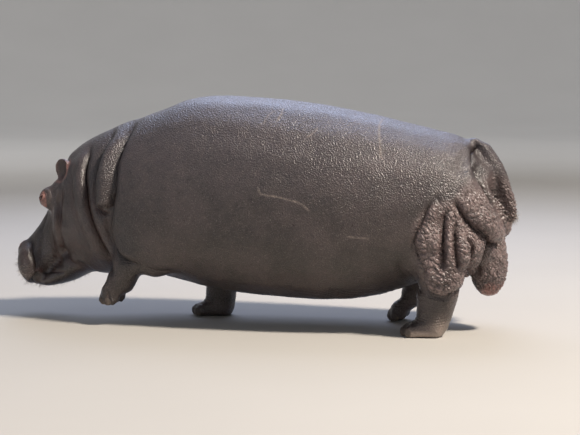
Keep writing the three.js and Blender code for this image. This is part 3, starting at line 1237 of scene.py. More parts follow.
@dataclass
class Eyeball:
    """A dark wet eye with a raised cornea. Sizes are in metres."""

    socket: EyeSocket
    cornea: float = 0.0022
    rings: int = 28
    around: int = 40

    def build(self, name: str) -> bpy.types.Object:
        """Makes the eyeball.

        Args:
            name: The piece's name.

        Returns:
            The piece, which looks out through its lids.
        """
        radius = self.socket.radius
        points = [np.array([0.0, 0.0, radius + self.cornea])]
        for ring in range(1, self.rings):
            polar = math.pi * ring / self.rings
            dome = self.cornea * math.exp(-((polar / 0.55) ** 4))
            for turn in np.linspace(0, 2 * math.pi, self.around, endpoint=False):
                out = np.array(
                    [
                        math.sin(polar) * math.cos(turn),
                        math.sin(polar) * math.sin(turn),
                        math.cos(polar),
                    ]
                )
                points.append(out * (radius + dome))
        points.append(np.array([0.0, 0.0, -radius]))
        faces = tube(self.rings - 1, self.around, 1, turned=True)
        last = 1 + (self.rings - 2) * self.around
        for i in range(self.around):
            j = (i + 1) % self.around
            faces += [[0, 1 + i, 1 + j], [len(points) - 1, last + j, last + i]]
        local = np.array(points)
        mesh = mesh_of(name, self.socket.world(local), faces)
        layer = mesh.attributes.new("off_axis", "FLOAT", "POINT")
        off = np.linalg.norm(local[:, :2], axis=1) / radius + (local[:, 2] < 0)
        layer.data.foreach_set("value", off.astype(np.float32))
        smooth_shaded(mesh)
        return place_object(name, mesh)


@dataclass(frozen=True)
class Foot:
    """How one foot stands, in metres and degrees.

    Attributes:
        ankle: Where the sole lies under the ankle, measured from the floor under the poll.
        pitch: How far the toes point down.
        droop: How much lower than the middle toes the outer ones hang.
        reach: From the ankle to the middle of a toe.
        spread: Between the foot's middle line and its outer toes.
        rise: How high a toe's middle lies over the sole.
        short: How much shorter an outer toe reaches, as a share.
        wide: How much wider than round the toes stand.
        yaw: How far a toe turns out, as a share of its place round the foot.
    """

    ankle: tuple[float, float, float]
    pitch: float = 0.0
    droop: float = 0.0
    reach: float = 0.110
    spread: float = 40.0
    rise: float = 0.032
    short: float = 0.12
    wide: float = 1.05
    yaw: float = 0.7

    def toe(self, number: int) -> tuple[np.ndarray, np.ndarray]:
        """Places one toe.

        Args:
            number: Which toe, from 0.

        Returns:
            Its middle, and its forward, sideways and upward directions, one in each row.
        """
        share = 2 * number / (TOES - 1) - 1
        turn = math.radians(share * self.spread)
        reach = self.reach * (1 - self.short * share**2)
        middle = np.array([math.cos(turn) * reach, math.sin(turn) * reach * self.wide,
                           self.rise - self.droop * share**2])
        yaw = math.radians(share * self.spread * self.yaw)
        axes = np.array([[math.cos(yaw), math.sin(yaw), 0],
                         [-math.sin(yaw), math.cos(yaw), 0], [0, 0, 1.0]])
        pitch = math.radians(self.pitch)
        nod = np.array([[math.cos(pitch), 0, -math.sin(pitch)], [0, 1, 0],
                        [math.sin(pitch), 0, math.cos(pitch)]])
        half_turn = np.diag([-1.0, -1.0, 1.0])
        return (middle @ nod) @ half_turn + np.array(self.ankle), axes @ nod @ half_turn


FEET = {
    "foreleg_left": Foot((0.266, -0.312, 0.226), 42, 0.034),
    "foreleg_right": Foot((0.714, 0.228, 0.0)),
    "hindleg_left": Foot((2.166, -0.300, 0.0)),
    "hindleg_right": Foot((1.973, 0.270, 0.082), 34, 0.014),
}


@dataclass
class Nail:
    """A broad, hoof-like nail on the front of a toe. Sizes are in metres."""

    toe_half: tuple[float, float, float] = (0.066, 0.036, 0.050)
    half_arc: float = math.radians(62)
    top: float = math.radians(26)
    bottom: float = math.radians(-36)
    thick: float = 0.0032
    worn: float = 0.0022  # how far its lower edge stands out more
    sunk: float = 0.006  # how deep its inner sheet lies in the toe
    probe: float = 0.1  # how far from the toe's middle the hide is looked for
    across: int = 25
    up: int = 17

    def build(
        self, name: str, foot: Foot, number: int, poll: float, hide: BVHTree
    ) -> bpy.types.Object:
        """Makes one nail, which lies on its toe's hide.

        Args:
            name: The piece's name.
            foot: The foot that it grows on.
            number: Which toe, from 0.
            poll: Where the poll lies along the body, in metres.
            hide: The hide, to be asked how far out it lies.

        Returns:
            The piece.
        """
        middle, axes = foot.toe(number)
        middle = middle + np.array([poll, 0.0, 0.0])
        chance = np.random.default_rng(100 + number)
        ridges = chance.normal(size=self.across) * 0.0003
        u, v = np.meshgrid(np.linspace(-1, 1, self.across), np.linspace(-1, 1, self.up))
        toward = unit(self._directions(u, v) @ axes)
        reach = np.full(u.shape, self.toe_half[0])
        for at in np.ndindex(u.shape):
            _, _, _, away = hide.ray_cast(Vector(middle), Vector(toward[at]), self.probe)
            if away is not None:
                reach[at] = away
        for _ in range(3):
            padded = np.pad(reach, 1, mode="edge")
            beside = padded[1:-1, :-2] + padded[1:-1, 2:]
            reach = (padded[:-2, 1:-1] + padded[2:, 1:-1] + beside) / 4
        edge = np.maximum(np.abs(u), np.abs(v)) ** 5
        lift = self.thick * (1 - 0.7 * edge) + ridges * (1 - edge) + self.worn * np.maximum(-v, 0)
        sheets = [toward * (reach + lift)[..., None], toward * (reach - self.sunk)[..., None]]
        points = np.vstack([sheet.reshape(-1, 3) for sheet in sheets]) + middle
        points[:, 2] = np.maximum(points[:, 2], 2 * FLOOR_GAP)
        mesh = mesh_of(name, points, self._faces())
        layer = mesh.attributes.new("growth", "FLOAT", "POINT")
        growth = np.tile(np.repeat(np.linspace(0, 1, self.up), self.across), 2)
        layer.data.foreach_set("value", growth.astype(np.float32))
        smooth_shaded(mesh)
        return place_object(name, mesh)

    def _directions(self, u: np.ndarray, v: np.ndarray) -> np.ndarray:
        """Finds which way each place of the plate lies from the toe's middle.

        Args:
            u: Places from side to side, from -1 to 1.
            v: Places from the lower edge to the root, from -1 to 1.

        Returns:
            The directions, in the toe's axes.
        """
        turn = u * self.half_arc * (1 - 0.20 * np.abs(v) ** 3)
        rise = (v + 1) / 2 * (self.top - self.bottom) + self.bottom
        rise = rise - 0.12 * (1 - u**2) * np.maximum(-v, 0) + 0.14 * (1 - u**2) * np.maximum(v, 0)
        long, wide, high = self.toe_half
        return np.stack(
            [
                long * np.cos(rise) * np.cos(turn),
                wide * np.cos(rise) * np.sin(turn),
                high * np.sin(rise),
            ],
            axis=-1,
        )

    def _faces(self) -> list[list[int]]:
        """Joins the plate's places.

        Returns:
            The two sheets' faces and the strip that joins their edges.
        """
        n, m = self.across, self.up
        total = n * m
        faces = []
        for j, i in itertools.product(range(m - 1), range(n - 1)):
            a = j * n + i
            faces.append([a, a + n, a + n + 1, a + 1])
            faces.append([total + a, total + a + 1, total + a + n + 1, total + a + n])
        rim = list(range(n))
        rim += [j * n + n - 1 for j in range(1, m)]
        rim += [(m - 1) * n + i for i in range(n - 2, -1, -1)]
        rim += [j * n for j in range(m - 2, 0, -1)]
        for a, b in zip(rim, rim[1:] + rim[:1]):
            faces.append([a, b, total + b, total + a])
        return faces


@dataclass(frozen=True)
class Tuft:
    """Where bristles grow and how. Lengths are in mm.

    Attributes:
        middle: The patch's middle, in mm, in its plane.
        half: The patch's half sizes, in mm.
        plane: The plane in which the patch is drawn.
        count: How many bristles.
        length: Shortest and longest.
        thick: A bristle's thickness at its root.
        lie: The direction in which they lean, in the frame's axes.
        facing: The direction that the skin must face for one to grow.
        band: The greatest distance from the middle plane at which one grows, in metres.
    """

    middle: tuple[float, float]
    half: tuple[float, float]
    plane: Plane
    count: int
    length: tuple[float, float]
    thick: float
    lie: tuple[float, float, float]
    facing: tuple[float, float, float]
    band: float = 10.0


@dataclass
class Bristles:
    """Stiff, well-spaced bristles as one solid mesh."""

    tufts: Sequence[Tuft]
    seed: int
    sides: int = 5
    joints: int = 5

    def build(self, name: str, hide: Surface) -> bpy.types.Object:
        """Plants the bristles on the hide.

        Args:
            name: The piece's name.
            hide: The finished hide's surface.

        Returns:
            The piece, with its bake map.
        """
        chance = np.random.default_rng(self.seed)
        outward = hide.normals()
        points: list[np.ndarray] = []
        faces: list[list[int]] = []
        map_places: list[np.ndarray] = []
        for tuft in self.tufts:
            seen = hide.seen_in(tuft.plane)
            off = (seen - np.array(tuft.middle) * MM) / (np.array(tuft.half) * MM)
            facing = outward @ unit(np.array(tuft.facing, float))
            near = np.abs(hide.points[:, 1]) < tuft.band
            rows = np.flatnonzero(((off**2).sum(1) < 1) & (facing > 0.35) & near)
            if not len(rows):
                log.warning("no skin under the tuft at %s", tuft.middle)
                continue
            for row in chance.choice(rows, size=tuft.count):
                hair = self._bristle(chance, hide.points[row], outward[row], tuft)
                self._add(points, faces, hair)
                map_places.append(self._patch(hide.points[row], len(hair)))
        mesh = mesh_of(name, np.vstack(points), faces)
        self._map(mesh, np.vstack(map_places))
        smooth_shaded(mesh)
        return place_object(name, mesh)

    def _bristle(
        self, chance: np.random.Generator, root: np.ndarray, outward: np.ndarray, tuft: Tuft
    ) -> np.ndarray:
        """Draws one tapering, slightly bent bristle.

        Args:
            chance: The source of its unevenness.
            root: Where it grows.
            outward: Which way the skin faces there.
            tuft: The tuft that it belongs to.

        Returns:
            Its places, ring after ring and then its tip.
        """
        length = chance.uniform(*tuft.length) * MM
        lean = unit(outward + 0.45 * unit(np.array(tuft.lie, float)) + chance.normal(size=3) * 0.22)
        droop = unit(np.array(tuft.lie, float)) * chance.uniform(0.1, 0.35)
        across = unit(np.cross(lean, np.array([0.3, 0.8, 0.5])))
        beside = np.cross(lean, across)
        rings = []
        for joint in range(self.joints):
            share = joint / self.joints
            middle = root - outward * 0.002 + (lean * share + droop * share**2) * length
            radius = tuft.thick * MM / 2 * (1 - share) ** 0.6
            for turn in np.linspace(0, 2 * math.pi, self.sides, endpoint=False):
                rings.append(middle + radius * (math.cos(turn) * across + math.sin(turn) * beside))
        rings.append(root - outward * 0.002 + (lean + droop) * length)
        return np.array(rings)

    def _add(self, points: list[np.ndarray], faces: list[list[int]], hair: np.ndarray) -> None:
        """Adds one bristle.

        Args:
            points: The places of the bristles before it, to which it is added.
            faces: The faces, to which its own are added.
            hair: The bristle's places.
        """
        start = len(points) * len(hair)
        points.append(hair)
        faces += tube(self.joints, self.sides, start)
        last = start + (self.joints - 1) * self.sides
        for i in range(self.sides):
            faces.append([last + i, last + (i + 1) % self.sides, start + len(hair) - 1])
        faces.append([start + i for i in range(self.sides)][::-1])

    @staticmethod
    def _patch(root: np.ndarray, count: int) -> np.ndarray:
        """Finds a bristle's small patch, at its root's place on the hide rolled out flat.

        Args:
            root: Where it grows.
            count: How many places it has.

        Returns:
            A place on the map for each.
        """
        along = (root[0] + 1.65) / 3.3
        turn = math.atan2(root[2] - 0.7, root[1]) / (2 * math.pi) + 0.5
        corner = np.array([0.01 + 0.97 * along, 0.01 + 0.97 * turn])
        spread = np.linspace(0, 0.003, count)
        return corner + np.stack([spread, spread[::-1]], axis=1)

    @staticmethod
    def _map(mesh: bpy.types.Mesh, places: np.ndarray) -> None:
        """Lays the bake map on the mesh.

        Args:
            mesh: The bristles.
            places: Each vertex's place on the map.
        """
        layer = mesh.uv_layers.new(name="OFBake")
        corners = read(mesh.loops, "vertex_index", 1, np.int32)[:, 0]
        layer.data.foreach_set("uv", places[corners].astype(np.float32).ravel())


MUZZLE_TUFTS = tuple(
    Tuft((u, w), (42, 52), Plane.FACE, count, (12, 34), 1.3, (-0.8, 0, -0.6), facing)
    for u, w, count, facing in (
        (700, 20, 90, (-0.9, 0, 0.1)),
        (716, -60, 110, (-0.9, 0, -0.4)),
        (690, -130, 90, (-0.8, 0, -0.6)),
        (650, 60, 50, (-0.9, 0, 0.4)),
        (640, -60, 50, (0, -1, 0)),
        (640, -60, 50, (0, 1, 0)),
    )
)
CHIN_TUFTS = (
    Tuft((600, -240), (90, 60), Plane.FACE, 60, (10, 26), 1.2, (-0.5, 0, -0.8), (-0.3, 0, -1)),
    Tuft((500, -300), (80, 40), Plane.FACE, 30, (10, 22), 1.2, (-0.3, 0, -0.9), (0, 0, -1)),
)
TAIL_TUFTS = tuple(
    Tuft((x, z), (34, 34), Plane.FLANK, count, (14, 36), 1.4, (0.35, 0, -1), facing, band=0.11)
    for x, z, count, facing in (
        (1585, 725, 24, (1, 0, 0)),
        (1578, 690, 50, (1, 0, -0.3)),
        (1560, 665, 60, (0.3, 0, -1)),
        (1535, 685, 24, (-1, 0, -0.4)),
    )
)


# ---- Finishes ----

EASED = {"interpolation_type": "SMOOTHSTEP"}
TIMES = {"operation": "MULTIPLY"}
NUMBERS = {"data_type": "FLOAT"}
COLOURS = {"data_type": "RGBA"}
MIXED = 2  # a mix of colours takes inputs 0, 6 and 7 and gives output 2


class Graph:
    """A material's nodes, added one at a time."""

    def __init__(self, name: str) -> None:
        """Starts a material with only its output.

        Args:
            name: The material's name.
        """
        self.material = bpy.data.materials.new(name)
        self.material.use_nodes = True
        self.tree = self.material.node_tree
        self.tree.nodes.clear()
        self.output = self.tree.nodes.new("ShaderNodeOutputMaterial")

    def add(
        self, kind: str, settings: dict | None = None, out: int | str = 0, **inputs
    ) -> Socket:
        """Adds a node.

        Args:
            kind: Blender's name for the node.
            settings: Properties of the node itself.
            out: Which of its outputs is wanted.
            **inputs: Values or sockets for its inputs, by name with _ for a space; a name that
                ends in a number, such as i2, is the input at that place.

        Returns:
            The wanted output.
        """
        node = self.tree.nodes.new(kind)
        for name, value in (settings or {}).items():
            setattr(node, name, value)
        for name, value in inputs.items():
            if name[0] == "i" and name[1:].isdigit():
                socket = node.inputs[int(name[1:])]
            else:
                socket = node.inputs[name.replace("_", " ")]
            if isinstance(value, Socket):
                self.tree.links.new(value, socket)
            else:
                socket.default_value = value
        return node.outputs[out]

    def finish(self, shader: Socket) -> Material:
        """Joins the shader to the output and returns the material."""
        self.tree.links.new(shader, self.output.inputs["Surface"])
        return self.material


@dataclass(frozen=True)
class Finish:
    """What a piece's surface is made of. Each finish has its own name and look."""

    name: str

    def build(self) -> Material:
        """Makes the material."""
        g = Graph(self.name)
        return g.finish(self.look(g, g.add("ShaderNodeTexCoord", out="Object")))

    def look(self, g: Graph, place: Socket) -> Socket:
        """Makes the shader from where on the object it is."""
        raise NotImplementedError


@dataclass(frozen=True)
class Signs:
    """What the layers of the hide's look are drawn from.

    Attributes:
        place: Where on the body it is.
        marks: The painted masks.
        blotch: Soft patches, a few centimetres wide.
        speck: The pores' noise.
    """

    place: Socket
    marks: dict[str, Socket]
    blotch: Socket
    speck: Socket


@dataclass(frozen=True)
class WetHide(Finish):
    """Hippopotamus hide, thick and nearly bare, wet and rubbed with mud.

    It gives the eye a dark grey-brown with a mauve tinge, pink where it is thin or folded, a
    fine speckle of dark pores and pale painted glints, painted shade in its creases, a painted
    bluish sky reflection towards the top of the back, and an oily sheen that breaks up over the
    grain.
    """

    name: str = "wet_hippopotamus_hide"
    deep: str = "281f1d"
    tone: str = "3d3231"
    # painted sky reflection: the bluish paler tone laid over the top of the back
    painted_sky_sheen: str = "4a454b"
    loose: str = "8c7e7d"
    pink: str = "a06e64"
    dusty: str = "a4948a"
    scar: str = "8f8279"
    mottle: str = "75675f"
    # painted glints: pale specks that stand in for sparkle on the wet grain
    painted_glint: str = "938983"
    pit: str = "1f1816"
    # painted shade: near black laid into creases, grooves, the ear's cup and the nostrils
    hollow: str = "1c1311"
    rough: float = 0.35
    dry: float = 0.8  # the roughness of dust and scars
    patch: float = 280 * MM
    blotch: float = 45 * MM
    pore: float = 6 * MM  # real pores are finer; drawn coarse enough to show
    pebble: float = 8.5 * MM
    crinkle: float = 24 * MM

    def look(self, g: Graph, place: Socket) -> Socket:
        """Makes the shader.

        Args:
            g: The material's nodes.
            place: Where on the object it is.

        Returns:
            The shader.
        """
        marks = {
            name: g.add("ShaderNodeAttribute", {"attribute_name": name}, "Fac")
            for name in ("blush", "hollow", "loose", "dust", "scratch")
        }
        blotch = g.add("ShaderNodeTexNoise", Vector=place, Scale=1 / self.blotch, Detail=5.0,
                       Roughness=0.65)
        speck = g.add("ShaderNodeTexNoise", Vector=place, Scale=1 / self.pore, Detail=2.0,
                      Roughness=0.6)
        signs = Signs(place, marks, blotch, speck)
        relief = self._relief(g, signs)
        return g.add(
            "ShaderNodeBsdfPrincipled",
            Base_Color=self._colour(g, signs),
            Roughness=self._roughness(g, signs),
            Normal=relief,
            IOR=1.45,
            Specular_IOR_Level=0.6,
            Coat_Weight=0.45,
            Coat_Roughness=0.25,
            Coat_Normal=relief,
        )

    def _colour(self, g: Graph, signs: Signs) -> Socket:
        """Mixes the hide's colour.

        Args:
            g: The material's nodes.
            signs: What its layers are drawn from.

        Returns:
            The colour, with all its layers one over another.
        """
        ramp = "ShaderNodeMapRange"
        patches = g.add("ShaderNodeTexNoise", Vector=signs.place, Scale=1 / self.patch, Detail=4.0,
                        Roughness=0.6)
        uneven = g.add(ramp, EASED, Value=patches, From_Min=0.36, From_Max=0.66)
        height = g.add("ShaderNodeSeparateXYZ", out="Z", Vector=signs.place)
        # painted sky reflection, growing with height towards the top of the back
        back = g.add(ramp, EASED, Value=height, From_Min=0.55, From_Max=1.38)
        mottled = g.add(ramp, EASED, Value=signs.blotch, From_Min=0.38, From_Max=0.68)
        patchy = g.add(ramp, Value=signs.blotch, From_Min=0.3, From_Max=0.65, To_Min=0.65,
                       To_Max=1.0)
        # painted glints scattered by the pore noise
        painted_glint = g.add(ramp, EASED, Value=signs.speck, From_Min=0.52, From_Max=0.74)
        pit = g.add(ramp, EASED, Value=signs.speck, From_Min=0.46, From_Max=0.28)
        layers = (
            (uneven, 1.0, self.tone),
            # painted reflection of the sky on the top of the back
            (back, 0.75, self.painted_sky_sheen),
            (signs.marks["loose"], 0.8, self.loose),
            (mottled, 0.10, self.mottle),
            (signs.marks["blush"], patchy, self.pink),
            # painted glints
            (painted_glint, 0.36, self.painted_glint),
            (pit, 0.4, self.pit),
            (signs.marks["dust"], 1.0, self.dusty),
            (signs.marks["scratch"], 1.0, self.scar),
            # painted shade darkens creases, grooves and recesses
            (signs.marks["hollow"], 0.78, self.hollow),
        )
        tone = g.add("ShaderNodeRGB")
        tone.default_value = linear(self.deep)
        for mask, amount, colour in layers:
            share = g.add("ShaderNodeMath", TIMES, i0=mask, i1=amount)
            tone = g.add("ShaderNodeMix", COLOURS, MIXED, i0=share, i6=tone, i7=linear(colour))
        return tone

    def _roughness(self, g: Graph, signs: Signs) -> Socket:
        """Makes the hide wet all over, wettest where it is loose, and dry on dust and scars.

        Args:
            g: The material's nodes.
            signs: What its layers are drawn from.

        Returns:
            The roughness.
        """
        base = g.add("ShaderNodeMapRange", Value=signs.blotch, From_Min=0.3, From_Max=0.7,
                     To_Min=self.rough - 0.08, To_Max=self.rough + 0.12)
        grain = g.add("ShaderNodeMapRange", Value=signs.speck, From_Min=0.3, From_Max=0.7,
                      To_Min=-0.06, To_Max=0.08)
        total = g.add("ShaderNodeMath", {"operation": "ADD"}, i0=base, i1=grain)
        total = g.add("ShaderNodeMath", {"operation": "MULTIPLY_ADD"}, i0=signs.marks["loose"],
                      i1=-0.07, i2=total)
        bare = g.add("ShaderNodeMath", {"operation": "MAXIMUM"}, i0=signs.marks["dust"],
                     i1=signs.marks["scratch"])
        return g.add("ShaderNodeMix", NUMBERS, i0=bare, i2=total, i3=self.dry)

    def _relief(self, g: Graph, signs: Signs) -> Socket:
        """Makes bumps: pores, pebbles that fade towards the face, and crinkles on loose skin.

        Args:
            g: The material's nodes.
            signs: What its layers are drawn from.

        Returns:
            The direction that the bumpy skin faces.
        """
        pebbles = g.add("ShaderNodeTexVoronoi", {"feature": "SMOOTH_F1"}, "Distance",
                        Vector=signs.place, Scale=1 / self.pebble, Smoothness=0.6)
        cracks = g.add("ShaderNodeTexVoronoi", {"feature": "DISTANCE_TO_EDGE"}, "Distance",
                       Vector=signs.place, Scale=1 / self.crinkle)
        along = g.add("ShaderNodeSeparateXYZ", out="X", Vector=signs.place)
        body = g.add("ShaderNodeMapRange", Value=along, From_Min=-1.25, From_Max=-0.95,
                     To_Min=0.35, To_Max=0.9)
        fine = g.add("ShaderNodeBump", Strength=0.7, Distance=2.4 * MM, Height=signs.speck)
        grain = g.add("ShaderNodeBump", Strength=body, Distance=5 * MM, Height=pebbles,
                      Normal=fine)
        deep = g.add("ShaderNodeMapRange", EASED, Value=cracks, From_Min=0.0, From_Max=0.22)
        held = g.add("ShaderNodeMath", TIMES, i0=deep, i1=signs.marks["loose"])
        return g.add("ShaderNodeBump", Strength=0.5, Distance=4.0 * MM, Height=held,
                     Normal=grain)


@dataclass(frozen=True)
class HornNail(Finish):
    """Keratin nail, grown in ridges and worn pale at its lower edge.

    It gives the eye a dull dark brown plate with fine upright streaks.
    """

    name: str = "ridged_keratin_nail"
    root: str = "3a312d"
    edge: str = "665a50"
    line: str = "776b60"
    streak: float = 3 * MM  # real ridges are finer; drawn coarse enough to show

    def look(self, g: Graph, place: Socket) -> Socket:
        """Makes the shader.

        Args:
            g: The material's nodes.
            place: Where on the object it is.

        Returns:
            The shader.
        """
        growth = g.add("ShaderNodeAttribute", {"attribute_name": "growth"}, "Fac")
        streak = g.add("ShaderNodeMapping", Vector=place, Scale=(1.0, 1.0, 0.12))
        grain = g.add("ShaderNodeTexNoise", Vector=streak, Scale=1 / self.streak, Detail=3.0)
        worn = g.add("ShaderNodeMapRange", EASED, Value=growth, From_Min=0.55, From_Max=0.0)
        mixed = g.add("ShaderNodeMix", COLOURS, MIXED, i0=worn, i6=linear(self.root),
                      i7=linear(self.edge))
        lines = g.add("ShaderNodeMapRange", Value=grain, From_Min=0.4, From_Max=0.7, To_Max=0.35)
        colour = g.add("ShaderNodeMix", COLOURS, MIXED, i0=lines, i6=mixed,
                       i7=linear(self.line))
        relief = g.add("ShaderNodeBump", Strength=0.5, Distance=0.8 * MM, Height=grain)
        return g.add("ShaderNodeBsdfPrincipled", Base_Color=colour, Normal=relief,
                     Roughness=0.55, IOR=1.54)


@dataclass(frozen=True)
class WetEye(Finish):
    """A live eye: dark brown iris round a wide pupil, under a clear wet film.

    It gives the eye a deep dark spot with one sharp glint.
    """

    name: str = "wet_brown_eye"
    white: str = "4a3029"
    iris: str = "2b1710"
    glow: str = "4d2c1b"
    pupil: str = "050304"
    fibre: float = 1.2 * MM

    def look(self, g: Graph, place: Socket) -> Socket:
        """Makes the shader.

        Args:
            g: The material's nodes.
            place: Where on the object it is.

        Returns:
            The shader.
        """
        off = g.add("ShaderNodeAttribute", {"attribute_name": "off_axis"}, "Fac")
        fibre = g.add("ShaderNodeTexNoise", Vector=place, Scale=1 / self.fibre, Detail=3.0)
        warm = g.add("ShaderNodeMix", COLOURS, MIXED, i0=fibre, i6=linear(self.iris),
                     i7=linear(self.glow))
        edge = g.add("ShaderNodeMapRange", EASED, Value=off, From_Min=0.56, From_Max=0.66)
        outer = g.add("ShaderNodeMix", COLOURS, MIXED, i0=edge, i6=warm, i7=linear(self.white))
        hole = g.add("ShaderNodeMapRange", EASED, Value=off, From_Min=0.34, From_Max=0.26)
        colour = g.add("ShaderNodeMix", COLOURS, MIXED, i0=hole, i6=outer,
                       i7=linear(self.pupil))
        return g.add("ShaderNodeBsdfPrincipled", Base_Color=colour, Roughness=0.12, IOR=1.38,
                     Coat_Weight=1.0, Coat_Roughness=0.03)


@dataclass(frozen=True)
class Bristle(Finish):
    """Stiff hair, the colour of horn, darker and paler in turn.

    It gives the eye short pale strokes along the lips and the tail.
    """

    name: str = "stiff_bristle_keratin"
    root: str = "5a4c44"
    tip: str = "b9aca0"
    band: float = 9 * MM

    def look(self, g: Graph, place: Socket) -> Socket:
        """Makes the shader.

        Args:
            g: The material's nodes.
            place: Where on the object it is.

        Returns:
            The shader.
        """
        tone = g.add("ShaderNodeTexNoise", Vector=place, Scale=1 / self.band, Detail=2.0)
        colour = g.add("ShaderNodeMix", COLOURS, MIXED, i0=tone, i6=linear(self.root),
                       i7=linear(self.tip))
        return g.add("ShaderNodeBsdfPrincipled", Base_Color=colour, Roughness=0.45, IOR=1.54)


@dataclass(frozen=True)
class PalePlaster(Finish):
    """Matt plaster floor of a studio. It gives the eye a plain pale ground."""

    name: str = "matt_pale_plaster"
    colour: str = "bfbcb7"
    shade: str = "b9b6b1"

    def look(self, g: Graph, place: Socket) -> Socket:
        """Makes the shader.

        Args:
            g: The material's nodes.
            place: Where on the object it is.

        Returns:
            The shader.
        """
        tone = g.add("ShaderNodeTexNoise", Vector=place, Scale=0.7, Detail=3.0)
        colour = g.add("ShaderNodeMix", COLOURS, MIXED, i0=tone, i6=linear(self.colour),
                       i7=linear(self.shade))
        return g.add("ShaderNodeBsdfPrincipled", Base_Color=colour, Roughness=0.9, IOR=1.5)


# ---- Studio ----


@dataclass(frozen=True)
class Lamp:
    """One square soft light, which shines from one place to another.

    Attributes:
        name: Its name.
        at: Where it hangs, in metres.
        size: How wide it is, in metres.
        power: How strong it is, in watts.
        colour: Its colour.
        toward: Where it points, in metres.
    """

    name: str
    at: tuple[float, float, float]
    size: float
    power: float
    colour: str
    toward: tuple[float, float, float] = (0.0, 0.0, 0.7)

    def hang(self) -> None:
        """Hangs the light in the scene, where no camera sees it."""
        lamp = bpy.data.lights.new(self.name, "AREA")
        lamp.size = self.size
        lamp.energy = self.power
        lamp.color = linear(self.colour)[:3]
        piece = bpy.data.objects.new(self.name, lamp)
        piece.location = self.at
        aim = Vector(self.toward) - Vector(self.at)
        piece.rotation_euler = aim.to_track_quat("-Z", "Y").to_euler()
        piece.visible_camera = False
        bpy.context.scene.collection.objects.link(piece)


LAMPS = (
    Lamp("key", (8.5, -3.5, 12.0), 1.7, 3100, "fff3e4"),
    Lamp("sky_panel", (-1.0, 5.5, 6.5), 6.0, 400, "c2cff0"),
    Lamp("front_fill", (-5.5, -8.0, 3.0), 5.0, 60, "e9eefc"),
)


@dataclass
class Studio:
    """A round pale floor that sweeps up at its rim, soft lights and the camera.

    Attributes:
        flat: How far the level floor reaches, in metres.
        rim: How far its upturned rim reaches, in metres.
        wall: How high the rim rises, in metres.
        washes: How many lights shine outward on the rim.
        air: How strong the even light from all round is.
        target: What the camera looks at, in metres.
        azimuth: How far the camera stands beyond square on, in degrees.
        elevation: How far it looks down, in degrees.
        distance: How far away it is, in metres.
        lens: Its focal length, in mm.
    """

    flat: float = 24.0
    rim: float = 40.0
    wall: float = 16.0
    washes: int = 6
    air: float = 0.30
    target: tuple[float, float, float] = (0.1814, 0.0, 0.66)
    azimuth: float = 14.0
    elevation: float = 5.47
    distance: float = 11.14
    lens: float = 111.7

    def build(self) -> None:
        """Makes the floor, the lights, the air's soft light and the camera."""
        self._floor()
        for lamp in LAMPS:
            lamp.hang()
        for number in range(self.washes):
            turn = 2 * math.pi * number / self.washes
            cos, sin = math.cos(turn), math.sin(turn)
            wash, wall = (15 * cos, 15 * sin, 12.0), (36 * cos, 36 * sin, 4.0)
            Lamp(f"wall_wash_{number}", wash, 12.0, 1500, "f2f4fa", wall).hang()
        world = bpy.data.worlds.new("studio_air")
        bpy.context.scene.world = world
        world.use_nodes = True
        air = world.node_tree.nodes["Background"]
        air.inputs["Color"].default_value = linear("dfe6f2")
        air.inputs["Strength"].default_value = self.air
        self._camera()
        bpy.context.scene.view_settings.view_transform = "Standard"

    def _floor(self) -> None:
        """Lays the floor, a disc with a smoothly rising rim."""
        radii = [3.0, 9.0, self.flat]
        heights = [0.0] * len(radii)
        for share in np.linspace(0.08, 1, 14):
            radii.append(self.flat + (self.rim - self.flat) * math.sin(share * math.pi / 2))
            heights.append(self.wall * (1 - math.cos(share * math.pi / 2)))
        around = 96
        points = [[0.0, 0.0, 0.0]]
        for radius, height in zip(radii, heights):
            for i in range(around):
                turn = 2 * math.pi * i / around
                points.append([radius * math.cos(turn), radius * math.sin(turn), height])
        faces = [[0, 1 + i, 1 + (i + 1) % around] for i in range(around)]
        faces += tube(len(radii), around, 1, turned=True)
        mesh = mesh_of("floor", np.array(points), faces)
        smooth_shaded(mesh)
        floor = place_object("floor", mesh)
        mesh.materials.append(PalePlaster().build())

    def _camera(self) -> None:
        """Sets the camera, which looks slightly down at the left side from beyond the hip."""
        turn, rise = math.radians(self.azimuth), math.radians(self.elevation)
        back = Vector(
            (math.sin(turn) * math.cos(rise), -math.cos(turn) * math.cos(rise), math.sin(rise))
        )
        lens = bpy.data.cameras.new("camera")
        lens.lens = self.lens
        lens.sensor_width = 36.0
        lens.clip_end = 200.0
        camera = bpy.data.objects.new("camera", lens)
        camera.location = Vector(self.target) + back * self.distance
        camera.rotation_euler = (-back).to_track_quat("-Z", "Y").to_euler()
        bpy.context.scene.collection.objects.link(camera)
        bpy.context.scene.camera = camera


# ---- The animal ----


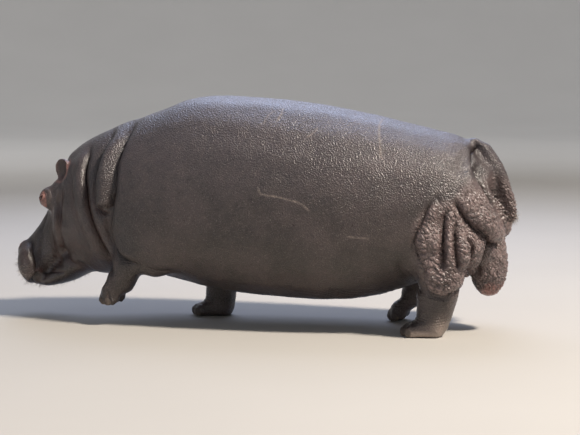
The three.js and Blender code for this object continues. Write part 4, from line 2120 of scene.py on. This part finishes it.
def finish_piece(
    piece: bpy.types.Object, material: Material, nodes: Sequence[str] = ()
) -> None:
    """Dresses a piece and fixes it to the body.

    Args:
        piece: The piece.
        material: Its material.
        nodes: The nodes that it replaces.
    """
    piece.data.materials.clear()
    piece.data.materials.append(material)
    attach(piece, BODY)
    if nodes:
        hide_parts(*nodes)
    log.info("%s: %d faces", piece.name, len(piece.data.polygons))


def node_middle(name: str) -> np.ndarray:
    """The middle of a node's box, in metres."""
    low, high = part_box(name)
    return np.array((low + high) / 2)


def main() -> None:
    """Builds the studio and then the animal, piece by piece."""
    logging.basicConfig(level=logging.INFO, format="%(name)s: %(message)s")
    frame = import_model()
    nodes = frame["nodes"]
    Studio().build()

    origin = node_middle("eye_left") - np.array(EYE_IN_HEAD) @ HeadAxes((0, 0, 0)).turn
    head = HeadAxes((float(origin[0]), 0.0, float(origin[2])))
    sockets = [
        EyeSocket(node_middle(f"eye_{name}"), EYE_RADIUS, side, head)
        for name, side in SIDES.items()
    ]
    along, sideways, crown = EAR_IN_HEAD
    ears = [
        Ear(head.world(np.array([along, sideways * side, crown])), side)
        for side in SIDES.values()
    ]
    toes = [n for n in nodes if "_nail_" in n]
    flesh = [n for n in nodes if n not in toes and not n.startswith("eye_")]

    hide = Hide(flesh, toes, head, sockets, ears=ears).build(nodes)
    finish_piece(hide, WetHide().build(), flesh)

    eye_finish = WetEye().build()
    for name, socket in zip(SIDES, sockets):
        finish_piece(Eyeball(socket).build(f"eyeball_{name}"), eye_finish, [f"eye_{name}"])

    nail_finish = HornNail().build()
    tree = BVHTree.FromObject(hide, bpy.context.evaluated_depsgraph_get())
    for leg, number in itertools.product(LEGS, range(TOES)):
        node = f"{leg}_nail_{number + 1}"
        piece = Nail().build(f"{node}_plate", FEET[leg], number, head.origin[0], tree)
        finish_piece(piece, nail_finish, [node])

    surface = Surface(hide.data, head)
    bristle_finish = Bristle().build()
    for name, tufts, seed in (
        ("muzzle_bristles", MUZZLE_TUFTS + CHIN_TUFTS, 21),
        ("tail_bristles", TAIL_TUFTS, 22),
    ):
        finish_piece(Bristles(tufts, seed).build(name, surface), bristle_finish)


if __name__ == "__main__":
    main()
